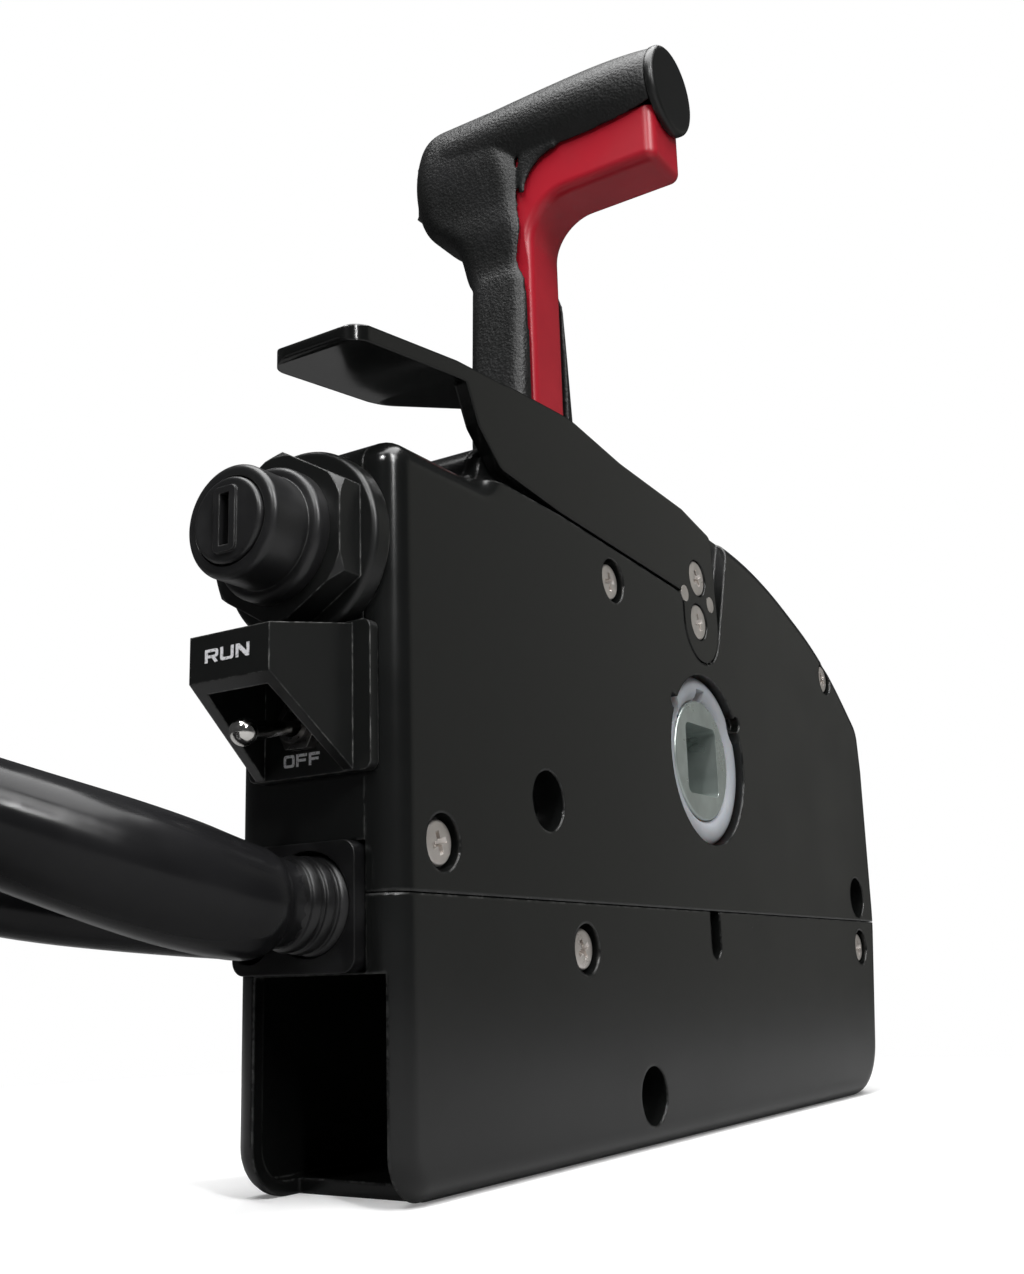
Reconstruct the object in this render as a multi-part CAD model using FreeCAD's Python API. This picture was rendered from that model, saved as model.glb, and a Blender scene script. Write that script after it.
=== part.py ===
import FreeCAD, Part
import math
import os

V = FreeCAD.Vector

# Side-mount boat throttle control, neutral, key off, stop switch down.
# Working axes: x back from the key-switch end, y from the panel face towards the operator, z up.
# Every node is moved by the frame offset on export, so the row origin is bottom centre.

# Case
case_length = 286.0
case_depth = 42.5
case_front_height = 151.0
case_arch_height = 172.3
cover_depth = 7.6
seam_height = 57.7
wall = 3.0
edge_radius = 6.0
seam_gap = 0.3
front_corner = 10.0

# Handle shaft axis
pivot_x = 147.2
pivot_z = 100.4

# Cover screws and panel bolts
screw_spots = [(15.6, 67.9), (93.6, 140.7), (250.5, 141.6), (72.3, 47.2), (265.2, 48.7)]
screw_head_radius = 4.7
screw_head_height = 2.6
screw_shank_radius = 2.1
screw_length = 22.0
screw_recess_radius = 5.9
screw_recess_depth = 3.6
screw_clearance = 0.15
boss_radius = 6.5
bolt_spots = [(57.2, 80.1), (102.7, 12.4), (265.5, 65.6)]
bolt_radius = 3.4
bolt_access_radius = 7.0
bolt_boss_radius = 8.6

# Round opening, bushings and shaft
hub_opening_radius = 24.4
ring_rim = 3.6
shaft_radius = 17.2
journal_radius = 12.0
running_gap = 0.06
shaft_near = 2.2
shoulder_y = 33.6
socket_square = 20.0
socket_depth = 24.0
bushing_wall = 3.0
bushing_flange = 2.0

# Gear train
gear_module = 2.0
drive_teeth = 24
sector_teeth = 48
gear_face = 6.0
gear_y = 10.2
mesh_angle = -25.8
sector_span = 96.0
stud_radius = 5.0
shift_arm_length = 42.0
throttle_y = 22.0
throttle_face = 5.0
throttle_length = 52.0
cable_pin_radius = 2.4
detent_y = 28.6
detent_face = 4.0
detent_radius = 25.0

# Fast idle lever
idle_x = 147.9
idle_z = 140.4
lever_thickness = 3.6
pocket_depth = 3.9
lever_end_radius = 11.4
pocket_end_radius = 12.2
paddle_reach = 12.0
paddle_width = 24.0
paddle_thickness = 3.5
paddle_height = 170.2
crank_radius = 14.0
crank_lug = 17.5
crank_lug_rise = 7.2
crank_arm_length = 30.0
lever_screw_spots = [(146.5, 153.9), (146.0, 140.6)]
lever_pin_spots = [(137.4, 147.4), (154.6, 147.6)]
lever_screw_radius = 5.2
lever_screw_seat = 2.0
lever_pin_radius = 2.4

# Front panel: key switch, stop switch and guard
key_y = 21.25
key_z = 129.0
key_reach = 26.0
key_rotor_radius = 8.8
key_collar_radius = 11.7
key_flange_radius = 14.0
key_barrel_radius = 11.6
key_nut_flats = 33.0
key_nut_flange = 20.4
key_slot_height = 10.6
key_slot_width = 2.5
switch_y = 21.0
switch_z = 91.5
guard_base = (4.1, 36.0, 81.2, 111.4)
guard_root = (8.5, 34.0, 81.2, 111.0)
guard_front = (10.5, 31.0, 97.7, 107.0)
guard_reach = 24.5
guard_plate = 2.5
guard_wall = 2.5
guard_roof_drop = 3.4
toggle_length = 17.2
toggle_drop = 11.8
toggle_ball_radius = 2.8

# Front lower cable opening and grommet
slot_near = 3.3
slot_far = 36.0
slot_height = 42.5
grommet_near = 7.9
grommet_far = 39.2
grommet_low = 42.8
grommet_high = 68.0
grommet_depth = 8.8
grommet_lip = 3.0
cord_gap = 0.3

# Handle
arm_near = 49.6
arm_far = 66.5
hub_radius = 30.0
arm_split = 170.0
stem_half_low = 21.1
stem_half_high = 12.8
stem_high = 275.0
groove_half = 11.2
groove_depth = 6.4
grip_front = 47.4
grip_step = 177.0
grip_near = -1.6
grip_far = 93.6
grip_axis_z = 316.3
grip_radius = 15.4
end_cap_z = 316.6
end_cap_radius = 14.1
end_cap_thickness = 2.8
ring_near = 45.0
ring_radius = 34.0
ring_gap = 0.3
boss_outer_radius = 36.0
tenon_length = 18.0
tenon_half = 7.0
tenon_depth = 5.0

# Lock trigger
trigger_half = 10.2
strip_half = 9.2
trigger_low = 289.0
trigger_high = 307.5
trigger_near = 1.5
trigger_bend = 14.0
web_radius = 12.0
web_half = 12.6
web_high = 311.0
trigger_travel = 5.5
trigger_round = 3.4
trigger_gap = 0.45
strip_thickness = 5.0
strip_low = 141.0
spring_y = 22.0
spring_radius = 3.0
spring_wire = 0.6
spring_turns = 7
spring_low = 298.0
spring_high = 325.0

# Trim rocker
rocker_z = 310.0
rocker_half_width = 5.5
rocker_half_height = 8.0
rocker_out = 2.0
bezel_rim = 2.0
rocker_gap = 0.5

# Cords
harness_diameter = 20.0
lead_diameter = 10.4
harness_points = [(8.0, 17.2, 55.0), (-34.0, 26.5, 59.0), (-91.8, 61.9, 81.6), (-148.0, 104.0, 78.0),
                  (-205.0, 152.0, 74.0), (-262.0, 168.0, 56.0)]
lead_points = [(8.0, 33.1, 50.6), (-20.0, 37.1, 50.2), (-54.0, 59.0, 57.6), (-86.0, 84.0, 71.0),
               (-98.0, 122.0, 68.2), (-126.0, 150.0, 69.4), (-162.0, 160.0, 69.4)]
tail_points = [(-266.0, 27.5, 10.6), (-230.0, 30.0, 10.6), (-194.0, 52.0, 15.6), (-170.0, 63.0, 15.6)]
hank_centre = (-209.5, 86.0)
hank_straight = 85.0
hank_inner_turn = 60.0
hank_turns = 2
hank_layers = 3
hank_slack = 0.2
hank_high = 62.0
plug_radius = 15.5
plug_length = 42.0
lead_plug_radius = 7.2
lead_plug_length = 26.0

offset_x = (case_length - key_reach) / 2.0
offset_y = (grip_near + grip_far + rocker_out) / 2.0


def box(x0, x1, y0, y1, z0, z1):
    return Part.makeBox(x1 - x0, y1 - y0, z1 - z0, V(x0, y0, z0))


def cyl_y(x, z, radius, y0, y1):
    return Part.makeCylinder(radius, y1 - y0, V(x, y0, z), V(0, 1, 0))


def cyl_x(y, z, radius, x0, x1):
    return Part.makeCylinder(radius, x1 - x0, V(x0, y, z), V(1, 0, 0))


def fuse(first, *others):
    return first.multiFuse(list(others)).removeSplitter()


# A closed wire through corners given as (u, v, radius), placed by a function of u and v
def rounded_wire(corners, place):
    count = len(corners)
    starts = []
    ends = []
    mids = []
    for i in range(count):
        u, v, radius = corners[i]
        pu, pv, _ = corners[i - 1]
        nu, nv, _ = corners[(i + 1) % count]
        here = V(u, v, 0)
        back = V(pu - u, pv - v, 0).normalize()
        ahead = V(nu - u, nv - v, 0).normalize()
        half = back.getAngle(ahead) / 2.0
        if radius <= 0:
            starts.append(here)
            ends.append(here)
            mids.append(None)
            continue
        reach = radius / math.tan(half)
        starts.append(here + back * reach)
        ends.append(here + ahead * reach)
        inward = (back + ahead).normalize()
        centre = here + inward * (radius / math.sin(half))
        mids.append(centre - inward * radius)
    edges = []
    for i in range(count):
        if mids[i] is not None:
            arc = Part.Arc(place(starts[i]), place(mids[i]), place(ends[i]))
            edges.append(arc.toShape())
        after = (i + 1) % count
        if (starts[after] - ends[i]).Length > 1e-6:
            edges.append(Part.makeLine(place(ends[i]), place(starts[after])))
    return Part.Wire(edges)


def side_plate(corners, y0, y1):
    wire = rounded_wire(corners, lambda p: V(p.x, y0, p.y))
    return Part.Face(wire).extrude(V(0, y1 - y0, 0))


def end_plate(corners, x0, x1):
    wire = rounded_wire(corners, lambda p: V(x0, p.x, p.y))
    return Part.Face(wire).extrude(V(x1 - x0, 0, 0))


def rounded_rect_z(x0, x1, y0, y1, z, radius):
    corners = [(x0, y0, radius), (x1, y0, radius), (x1, y1, radius), (x0, y1, radius)]
    return rounded_wire(corners, lambda p: V(p.x, p.y, z))


# Side view of the whole case, with its flat foot, arched top and sloping back
def case_corners(inset):
    top = case_front_height - inset
    arch = case_arch_height - inset
    back = case_length - inset
    return [
        (inset, inset, front_corner - inset),
        (inset, top, edge_radius - inset / 2.0),
        (36.0 + inset, top, 5.0),
        (39.0 + inset, arch - 10.3, 9.0),
        (100.0, arch + 0.6, 260.0),
        (190.0, arch - 0.6, 190.0),
        (252.0 - inset / 2.0, arch - 20.5, 150.0),
        (back - 1.6, arch - 43.6, 11.0),
        (back, arch - 60.0, 30.0),
        (back - 0.8, seam_height, 60.0),
        (back - 12.5, inset, 20.0 - inset),
    ]


def case_block(inset, y0, y1):
    return side_plate(case_corners(inset), y0, y1)


def outline_edges(shape, y):
    found = []
    for edge in shape.Edges:
        bound = edge.BoundBox
        if abs(bound.YMin - y) < 1e-4 and abs(bound.YMax - y) < 1e-4:
            found.append(edge)
    return found


def make_main_housing():
    block = case_block(0.0, cover_depth, case_depth)
    block = block.makeFillet(edge_radius, outline_edges(block, case_depth))
    shell = block.cut(case_block(wall, cover_depth - 1.0, case_depth - wall))
    adds = [cyl_y(pivot_x, pivot_z, boss_outer_radius, case_depth - 1.0, ring_near)]
    adds.append(cyl_y(pivot_x, pivot_z, journal_radius + 9.0, shoulder_y + 2.4, case_depth - 1.0))
    for x, z in screw_spots:
        adds.append(cyl_y(x, z, boss_radius, cover_depth, case_depth - wall / 2.0))
    for x, z in bolt_spots:
        adds.append(cyl_y(x, z, bolt_boss_radius, cover_depth, case_depth - wall / 2.0))
    sx, sz = sector_pivot()
    adds.append(cyl_y(sx, sz, stud_radius + 3.0, gear_y + gear_face + 1.0, case_depth - wall / 2.0))
    inside = fuse(adds[0], *adds[1:]).common(case_block(0.0, cover_depth, ring_near))
    shell = fuse(shell, inside)
    cuts = [cyl_y(pivot_x, pivot_z, journal_radius + bushing_wall, shoulder_y, ring_near + 1.0)]
    for x, z in screw_spots:
        cuts.append(cyl_y(x, z, screw_shank_radius + screw_clearance, cover_depth - 1.0, screw_length + 2.0))
    for x, z in bolt_spots:
        cuts.append(cyl_y(x, z, bolt_radius, cover_depth - 1.0, case_depth + 1.0))
        cuts.append(cyl_y(x, z, bolt_access_radius, case_depth - 6.0, case_depth + 1.0))
    cuts.append(cyl_y(sx, sz, stud_radius, gear_y, case_depth - wall))
    cuts.append(cyl_x(key_y, key_z, key_barrel_radius + 0.2, -1.0, wall + 4.0))
    cuts.append(cyl_x(switch_y, switch_z, 4.0, -1.0, wall + 4.0))
    cuts.append(box(-1.0, front_corner + 4.0, cover_depth - 1.0, slot_far, -1.0, slot_height))
    cuts.append(box(-1.0, wall + 1.0, cover_depth - 1.0, grommet_far, grommet_low, grommet_high))
    for hole in cuts:
        shell = shell.cut(hole)
    return shell.removeSplitter()


# Lever pocket: front run, U round the lever end, then the ridge up to the arch
def lever_pocket(shrink, y0, y1):
    r = pocket_end_radius - shrink
    lean = math.radians(17.9)
    rx = idle_x + r * math.cos(lean)
    rz = idle_z - r * math.sin(lean)
    top = case_arch_height + 30.0
    corners = [
        (28.0, case_front_height + 1.0 + shrink, 0.0),
        (67.3, 151.2 + shrink, 40.0),
        (idle_x - r, 146.8 + shrink, 3.0),
        (idle_x - r, idle_z, 0.0),
        (idle_x, idle_z - r * 0.5, 0.0),
        (rx, rz, 0.0),
        (rx + (top - rz) * math.tan(lean), top, 0.0),
        (28.0, top, 0.0),
    ]
    return fuse(side_plate(corners, y0, y1), cyl_y(idle_x, idle_z, r, y0, y1))


def cover_blank():
    block = case_block(0.0, 0.0, cover_depth)
    return block.makeFillet(edge_radius, outline_edges(block, 0.0))


def cover_bosses(spots, radius):
    return [cyl_y(x, z, radius, wall - 0.5, cover_depth) for x, z in spots]


def cut_screw_seats(shape, spots):
    for x, z in spots:
        shape = shape.cut(cyl_y(x, z, screw_recess_radius, -1.0, screw_recess_depth))
        shape = shape.cut(cyl_y(x, z, screw_shank_radius + screw_clearance, -1.0, cover_depth + 1.0))
    return shape


def make_upper_cover():
    blank = cover_blank()
    skin = blank.cut(case_block(wall, wall, cover_depth + 1.0))
    spots = [s for s in screw_spots if s[1] > seam_height]
    bolts = [s for s in bolt_spots if s[1] > seam_height]
    adds = cover_bosses(spots, boss_radius + 1.4) + cover_bosses(bolts, bolt_access_radius + wall)
    adds.append(cyl_y(pivot_x, pivot_z, hub_opening_radius + wall, wall - 0.5, cover_depth))
    adds.append(cyl_y(idle_x, idle_z, crank_radius + wall, wall - 0.5, cover_depth))
    adds.append(cyl_y(idle_x, idle_z, crank_lug + wall, wall - 0.5, cover_depth))
    adds.append(lever_pocket(-2.0, wall - 0.5, cover_depth))
    adds.append(box(0.0, case_length, wall - 0.5, cover_depth - 2.0, seam_height, seam_height + wall))
    shell = fuse(skin, *adds).common(blank)
    shell = shell.cut(box(-9.0, case_length + 9.0, -9.0, cover_depth + 9.0, -9.0, seam_height + seam_gap / 2.0))
    shell = shell.cut(lever_pocket(0.0, -1.0, pocket_depth))
    shell = shell.cut(cyl_y(idle_x, idle_z, crank_radius + running_gap, pocket_depth, cover_depth + 1.0))
    swing = cyl_y(idle_x, idle_z, crank_lug + 0.3, pocket_depth, cover_depth + 1.0)
    shell = shell.cut(swing.common(box(idle_x - 40.0, idle_x + 40.0, 0.0, 20.0, idle_z + crank_lug_rise - 5.4,
                                       idle_z + 40.0)))
    shell = shell.cut(cyl_y(pivot_x, pivot_z, hub_opening_radius, -1.0, cover_depth + 1.0))
    for angle in (32.0, 146.0):
        tx = pivot_x + (hub_opening_radius + 0.6) * math.cos(math.radians(angle))
        tz = pivot_z + (hub_opening_radius + 0.6) * math.sin(math.radians(angle))
        shell = shell.cut(cyl_y(tx, tz, 2.3, -1.0, wall))
    shell = cut_screw_seats(shell, spots)
    for x, z in bolts:
        shell = shell.cut(cyl_y(x, z, bolt_access_radius, -1.0, cover_depth + 1.0))
    return shell.removeSplitter()


def make_lower_cover():
    blank = cover_blank()
    skin = blank.cut(case_block(wall, wall, cover_depth + 1.0))
    spots = [s for s in screw_spots if s[1] < seam_height]
    bolts = [s for s in bolt_spots if s[1] < seam_height]
    adds = cover_bosses(spots, boss_radius + 1.4) + cover_bosses(bolts, bolt_access_radius + wall)
    shell = fuse(skin, *adds).common(blank)
    shell = shell.cut(box(-9.0, case_length + 9.0, -9.0, cover_depth + 9.0, seam_height - seam_gap / 2.0, 400.0))
    slot_x = 144.4
    slot_half = 3.25
    shell = shell.cut(box(slot_x - slot_half, slot_x + slot_half, -1.0, cover_depth + 1.0, 48.0, 80.0))
    shell = shell.cut(cyl_y(slot_x, 48.0, slot_half, -1.0, cover_depth + 1.0))
    shell = cut_screw_seats(shell, spots)
    for x, z in bolts:
        shell = shell.cut(cyl_y(x, z, bolt_access_radius, -1.0, cover_depth + 1.0))
    shell = shell.cut(box(-1.0, front_corner + 4.0, slot_near, cover_depth + 1.0, -1.0, slot_height))
    return shell.removeSplitter()


def one_screw(x, z, seat, head_radius, head_height, shank_radius, length):
    head = cyl_y(x, z, head_radius, seat - head_height, seat)
    rim = outline_edges(head, seat - head_height)
    head = head.makeFillet(head_height * 0.45, rim)
    shank = cyl_y(x, z, shank_radius, seat, length)
    return fuse(head, shank)


def make_cover_screws():
    spots = [one_screw(x, z, screw_recess_depth, screw_head_radius, screw_head_height, screw_shank_radius,
                       screw_length) for x, z in screw_spots]
    return Part.makeCompound(spots)


def make_near_bushing():
    outer = cyl_y(pivot_x, pivot_z, hub_opening_radius - 0.1, 1.6, cover_depth)
    outer = outer.makeFillet(1.2, outline_edges(outer, 1.6))
    ring = outer.cut(cyl_y(pivot_x, pivot_z, shaft_radius + running_gap, 0.0, cover_depth + 1.0))
    notch = box(pivot_x - 2.6, pivot_x + 2.6, 1.0, 4.0, pivot_z + shaft_radius - 1.0,
                pivot_z + shaft_radius + ring_rim)
    return ring.cut(notch)


def make_far_bushing():
    tube = cyl_y(pivot_x, pivot_z, journal_radius + bushing_wall, shoulder_y + 2.4, ring_near)
    flange = cyl_y(pivot_x, pivot_z, journal_radius + 6.5, shoulder_y + 0.4, shoulder_y + 2.4)
    body = fuse(tube, flange)
    return body.cut(cyl_y(pivot_x, pivot_z, journal_radius + running_gap, shoulder_y, ring_near + 1.0))


def make_main_shaft():
    drum = cyl_y(pivot_x, pivot_z, shaft_radius, shaft_near, shoulder_y)
    drum = drum.makeFillet(0.8, outline_edges(drum, shaft_near))
    journal = cyl_y(pivot_x, pivot_z, journal_radius, shoulder_y, arm_far - 4.0)
    half = socket_square / 2.0
    corners = [(pivot_x - half, pivot_z - half, 2.0), (pivot_x + half, pivot_z - half, 2.0),
               (pivot_x + half, pivot_z + half, 2.0), (pivot_x - half, pivot_z + half, 2.0)]
    socket = side_plate(corners, shaft_near - 1.0, shaft_near + socket_depth)
    shaft = fuse(drum, journal).cut(socket)
    return shaft.cut(cyl_y(pivot_x, pivot_z, 4.0, arm_far - 24.0, arm_far))


# Involute tooth outline, teeth counted round from the first angle, in side view
def tooth_points(cx, cz, teeth, first, count, backlash):
    pitch = gear_module * teeth / 2.0
    base = pitch * math.cos(math.radians(20.0))
    tip = pitch + gear_module * 0.95
    root = pitch - gear_module * 1.25
    flat = math.tan(math.radians(20.0)) - math.radians(20.0)
    half = math.pi / (2.0 * teeth) - backlash / (2.0 * pitch) + flat
    radii = [max(base, root) + (tip - max(base, root)) * k / 3.0 for k in range(4)]
    flank = []
    for radius in radii:
        angle = math.acos(min(1.0, base / radius))
        flank.append((radius, half - (math.tan(angle) - angle)))
    if root < base:
        flank.insert(0, (root, half))
    step = 2.0 * math.pi / teeth
    points = []
    for i in range(count):
        centre = first + i * step
        for radius, spread in flank:
            points.append((cx + radius * math.cos(centre - spread), cz + radius * math.sin(centre - spread)))
        for radius, spread in reversed(flank):
            points.append((cx + radius * math.cos(centre + spread), cz + radius * math.sin(centre + spread)))
    return points


def plate_from_points(points, y0, y1):
    ring = [V(x, y0, z) for x, z in points]
    return Part.Face(Part.makePolygon(ring + [ring[0]])).extrude(V(0, y1 - y0, 0))


def centre_distance():
    return gear_module * (drive_teeth + sector_teeth) / 2.0


def sector_pivot():
    turn = math.radians(mesh_angle)
    return (pivot_x + centre_distance() * math.cos(turn), pivot_z + centre_distance() * math.sin(turn))


def make_drive_gear():
    points = tooth_points(pivot_x, pivot_z, drive_teeth, math.radians(mesh_angle), drive_teeth, 0.25)
    gear = plate_from_points(points, gear_y, gear_y + gear_face)
    return gear.cut(cyl_y(pivot_x, pivot_z, shaft_radius, gear_y - 1.0, gear_y + gear_face + 1.0))


def make_shift_sector():
    sx, sz = sector_pivot()
    toward = math.radians(mesh_angle) + math.pi
    step = 2.0 * math.pi / sector_teeth
    count = int(round(sector_span / 360.0 * sector_teeth / 2.0)) * 2
    first = toward - (count - 1) * step / 2.0
    points = tooth_points(sx, sz, sector_teeth, first, count, 0.25)
    plate = plate_from_points(points + [(sx, sz)], gear_y, gear_y + gear_face)
    rim = gear_module * sector_teeth / 2.0 - 9.0
    window = []
    for k in (-0.30, 0.30):
        a = toward + k * math.radians(sector_span)
        window.append(cyl_y(sx + rim * 0.66 * math.cos(a), sz + rim * 0.66 * math.sin(a), 7.0,
                            gear_y - 1.0, gear_y + gear_face + 1.0))
    plate = plate.cut(window[0]).cut(window[1])
    hub = cyl_y(sx, sz, stud_radius + 5.0, gear_y - 1.0, gear_y + gear_face + 0.7)
    tip = sz - shift_arm_length
    corners = [(sx - 8.0, sz, 0.0), (sx + 8.0, sz, 0.0), (sx + 5.5, tip - 5.5, 5.4), (sx - 5.5, tip - 5.5, 5.4)]
    arm = side_plate(corners, gear_y, gear_y + gear_face)
    pin = cyl_y(sx, tip, cable_pin_radius, gear_y, gear_y + gear_face + 7.0)
    body = fuse(plate, hub, arm, pin)
    return body.cut(cyl_y(sx, sz, stud_radius + running_gap, gear_y - 2.0, gear_y + gear_face + 2.0))


def make_shift_stud():
    sx, sz = sector_pivot()
    stud = cyl_y(sx, sz, stud_radius, gear_y - 1.2, case_depth - wall)
    head = cyl_y(sx, sz, stud_radius + 3.0, gear_y - 3.0, gear_y - 1.2)
    return fuse(stud, head)


def make_throttle_lever():
    hub = cyl_y(pivot_x, pivot_z, shaft_radius + 4.0, throttle_y, throttle_y + throttle_face)
    tip = pivot_z - throttle_length
    corners = [(pivot_x - 12.0, pivot_z, 0.0), (pivot_x + 12.0, pivot_z, 0.0),
               (pivot_x + 6.0, tip - 6.0, 5.9), (pivot_x - 6.0, tip - 6.0, 5.9)]
    arm = side_plate(corners, throttle_y, throttle_y + throttle_face)
    body = fuse(hub, arm)
    pin = cyl_y(pivot_x, tip, cable_pin_radius, throttle_y - 6.0, throttle_y)
    body = body.cut(cyl_y(pivot_x, pivot_z, shaft_radius, throttle_y - 1.0, throttle_y + throttle_face + 1.0))
    return fuse(body, pin)


def make_detent_wheel():
    wheel = cyl_y(pivot_x, pivot_z, detent_radius, detent_y, detent_y + detent_face)
    for angle in (60.0, 90.0, 120.0):
        a = math.radians(angle)
        wheel = wheel.cut(cyl_y(pivot_x + detent_radius * math.cos(a), pivot_z + detent_radius * math.sin(a), 2.6,
                                detent_y - 1.0, detent_y + detent_face + 1.0))
    return wheel.cut(cyl_y(pivot_x, pivot_z, shaft_radius, detent_y - 1.0, detent_y + detent_face + 1.0))


# Leaf with a roller nose just clear of the wheel, on a block against the far wall
def make_detent_leaf():
    top = pivot_z + detent_radius
    leaf = box(pivot_x - 34.0, pivot_x + 3.0, detent_y, detent_y + detent_face, top + 4.4, top + 5.4)
    nose = cyl_y(pivot_x, top + 2.5, 2.2, detent_y, detent_y + detent_face)
    block = box(pivot_x - 44.0, pivot_x - 34.0, detent_y - 2.0, case_depth - wall, top, top + 10.0)
    return fuse(leaf, nose, block)


def make_cable_anchor():
    body = box(54.0, 76.0, 15.0, case_depth - wall, 4.0, 34.0)
    for z in (12.0, 26.0):
        body = body.cut(cyl_x(20.0, z, 4.6, 50.0, 80.0))
        body = body.cut(box(50.0, 80.0, 10.0, 20.0, z - 4.6, z + 4.6))
    foot = box(54.0, 76.0, 15.0, case_depth - wall, wall, 4.0)
    return fuse(body, foot)


def make_cable_retainer():
    plate = box(56.0, 74.0, 12.6, 15.0, 4.0, 34.0)
    screws = [cyl_y(65.0, z, 3.2, 10.6, 12.6) for z in (19.0,)]
    return fuse(plate, *screws)


# Flat plate with the paddle folded from its top front edge
def make_idle_lever():
    r = lever_end_radius
    corners = [
        (27.0, 173.6, 1.0),
        (32.5, 162.9, 3.0),
        (41.5, 155.2, 4.0),
        (67.5, 152.2, 40.0),
        (idle_x - r, 147.9, 3.0),
        (idle_x - r, idle_z, 0.0),
        (idle_x, idle_z - r * 0.5, 0.0),
        (idle_x + r, idle_z + 0.4, 0.0),
        (157.6, 169.0, 3.0),
        (146.0, 171.4, 3.0),
        (138.5, 173.0, 3.0),
        (100.8, 175.2, 60.0),
        (74.0, 178.8, 30.0),
        (46.0, 177.2, 2.0),
    ]
    plate = fuse(side_plate(corners, 0.0, lever_thickness), cyl_y(idle_x, idle_z, r, 0.0, lever_thickness))
    low = paddle_height - paddle_thickness
    fold = [
        (-paddle_reach, low, 1.2),
        (24.0, 175.0 - paddle_thickness, 12.0),
        (52.0, 177.3 - paddle_thickness, 0.0),
        (52.0, 177.3, 0.0),
        (24.0, 175.4, 12.0),
        (-paddle_reach, paddle_height, 1.2),
    ]
    tab = side_plate(fold, 0.0, paddle_width)
    plan = [
        (-paddle_reach, 0.0, 5.0),
        (-paddle_reach, paddle_width, 6.0),
        (26.0, paddle_width, 12.0),
        (51.0, lever_thickness - 0.4, 4.0),
        (51.0, 0.0, 0.0),
    ]
    outline = Part.Face(rounded_wire(plan, lambda p: V(p.x, p.y, 150.0))).extrude(V(0, 0, 40.0))
    tab = tab.common(outline)
    lever = fuse(plate, tab)
    for x, z in lever_screw_spots:
        lever = lever.cut(cyl_y(x, z, screw_shank_radius + screw_clearance, -1.0, lever_thickness + 1.0))
        lever = lever.cut(cyl_y(x, z, lever_screw_radius + 0.3, -1.0, lever_screw_seat))
    for x, z in lever_pin_spots:
        lever = lever.cut(cyl_y(x, z, lever_pin_radius, -1.0, lever_thickness + 1.0))
    return lever


def make_lever_screws():
    spots = [one_screw(x, z, lever_screw_seat, lever_screw_radius, 1.9, screw_shank_radius, cover_depth)
             for x, z in lever_screw_spots]
    return Part.makeCompound(spots)


def make_lever_pins():
    return Part.makeCompound([cyl_y(x, z, lever_pin_radius, 0.0, cover_depth - 1.0) for x, z in lever_pin_spots])


def make_idle_crank():
    disc = cyl_y(idle_x, idle_z, crank_radius, pocket_depth + 0.05, cover_depth + 0.4)
    lug = cyl_y(idle_x, idle_z, crank_lug, pocket_depth + 0.05, cover_depth + 0.4)
    lug = lug.common(box(idle_x - 40.0, idle_x + 40.0, 0.0, 20.0, idle_z + crank_lug_rise, idle_z + 40.0))
    disc = fuse(disc, lug)
    spacer = cyl_y(idle_x, idle_z, lever_end_radius - 2.4, lever_thickness, pocket_depth + 0.05)
    tip = idle_x - crank_arm_length
    corners = [(idle_x, idle_z - 8.0, 0.0), (idle_x, idle_z + 8.0, 0.0), (tip - 5.0, idle_z + 5.0, 4.9),
               (tip - 5.0, idle_z - 5.0, 4.9)]
    arm = side_plate(corners, cover_depth + 0.1, cover_depth + 1.9)
    body = fuse(disc, spacer, arm)
    for x, z in lever_screw_spots:
        body = body.cut(cyl_y(x, z, screw_shank_radius, 0.0, cover_depth))
    for x, z in lever_pin_spots:
        body = body.cut(cyl_y(x, z, lever_pin_radius, 0.0, cover_depth - 1.0))
    return body


def make_key_body():
    barrel = cyl_x(key_y, key_z, key_barrel_radius, -11.0, wall)
    can = cyl_x(key_y, key_z, key_flange_radius, wall, 34.0)
    can = can.makeFillet(2.0, [e for e in can.Edges if e.BoundBox.XMin > 33.0])
    ends = [cyl_x(key_y + 6.5 * math.cos(a), key_z + 6.5 * math.sin(a), 1.6, 33.0, 40.0)
            for a in [k * math.pi / 2.5 for k in range(5)]]
    body = fuse(barrel, can, *ends)
    return body.cut(cyl_x(key_y, key_z, key_rotor_radius + 0.3, -12.0, 2.0))


def make_key_nut():
    flange = cyl_x(key_y, key_z, key_nut_flange, -4.6, 0.0)
    flange = flange.makeFillet(1.2, [e for e in flange.Edges if e.BoundBox.XMax < -4.5])
    across = key_nut_flats / 2.0 / math.cos(math.pi / 6.0)
    ring = []
    for k in range(6):
        a = math.pi / 6.0 + k * math.pi / 3.0
        ring.append(V(-11.0, key_y + across * math.cos(a), key_z + across * math.sin(a)))
    prism = Part.Face(Part.makePolygon(ring + [ring[0]])).extrude(V(7.0, 0, 0))
    cone = Part.makeCone(across - 1.6, across + 5.4, 7.0, V(-11.0, key_y, key_z), V(1, 0, 0))
    nut = fuse(flange, prism.common(cone))
    return nut.cut(cyl_x(key_y, key_z, key_barrel_radius, -12.0, 1.0))


def make_key_collar():
    flange = cyl_x(key_y, key_z, key_flange_radius, -14.6, -11.0)
    flange = flange.makeFillet(1.4, [e for e in flange.Edges if e.BoundBox.XMax < -14.5])
    neck = cyl_x(key_y, key_z, key_collar_radius, -key_reach + 1.6, -13.0)
    neck = neck.makeFillet(1.4, [e for e in neck.Edges if e.BoundBox.XMax < -key_reach + 2.0])
    collar = fuse(flange, neck)
    return collar.cut(cyl_x(key_y, key_z, key_rotor_radius + 0.3, -key_reach, -10.0))


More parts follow.
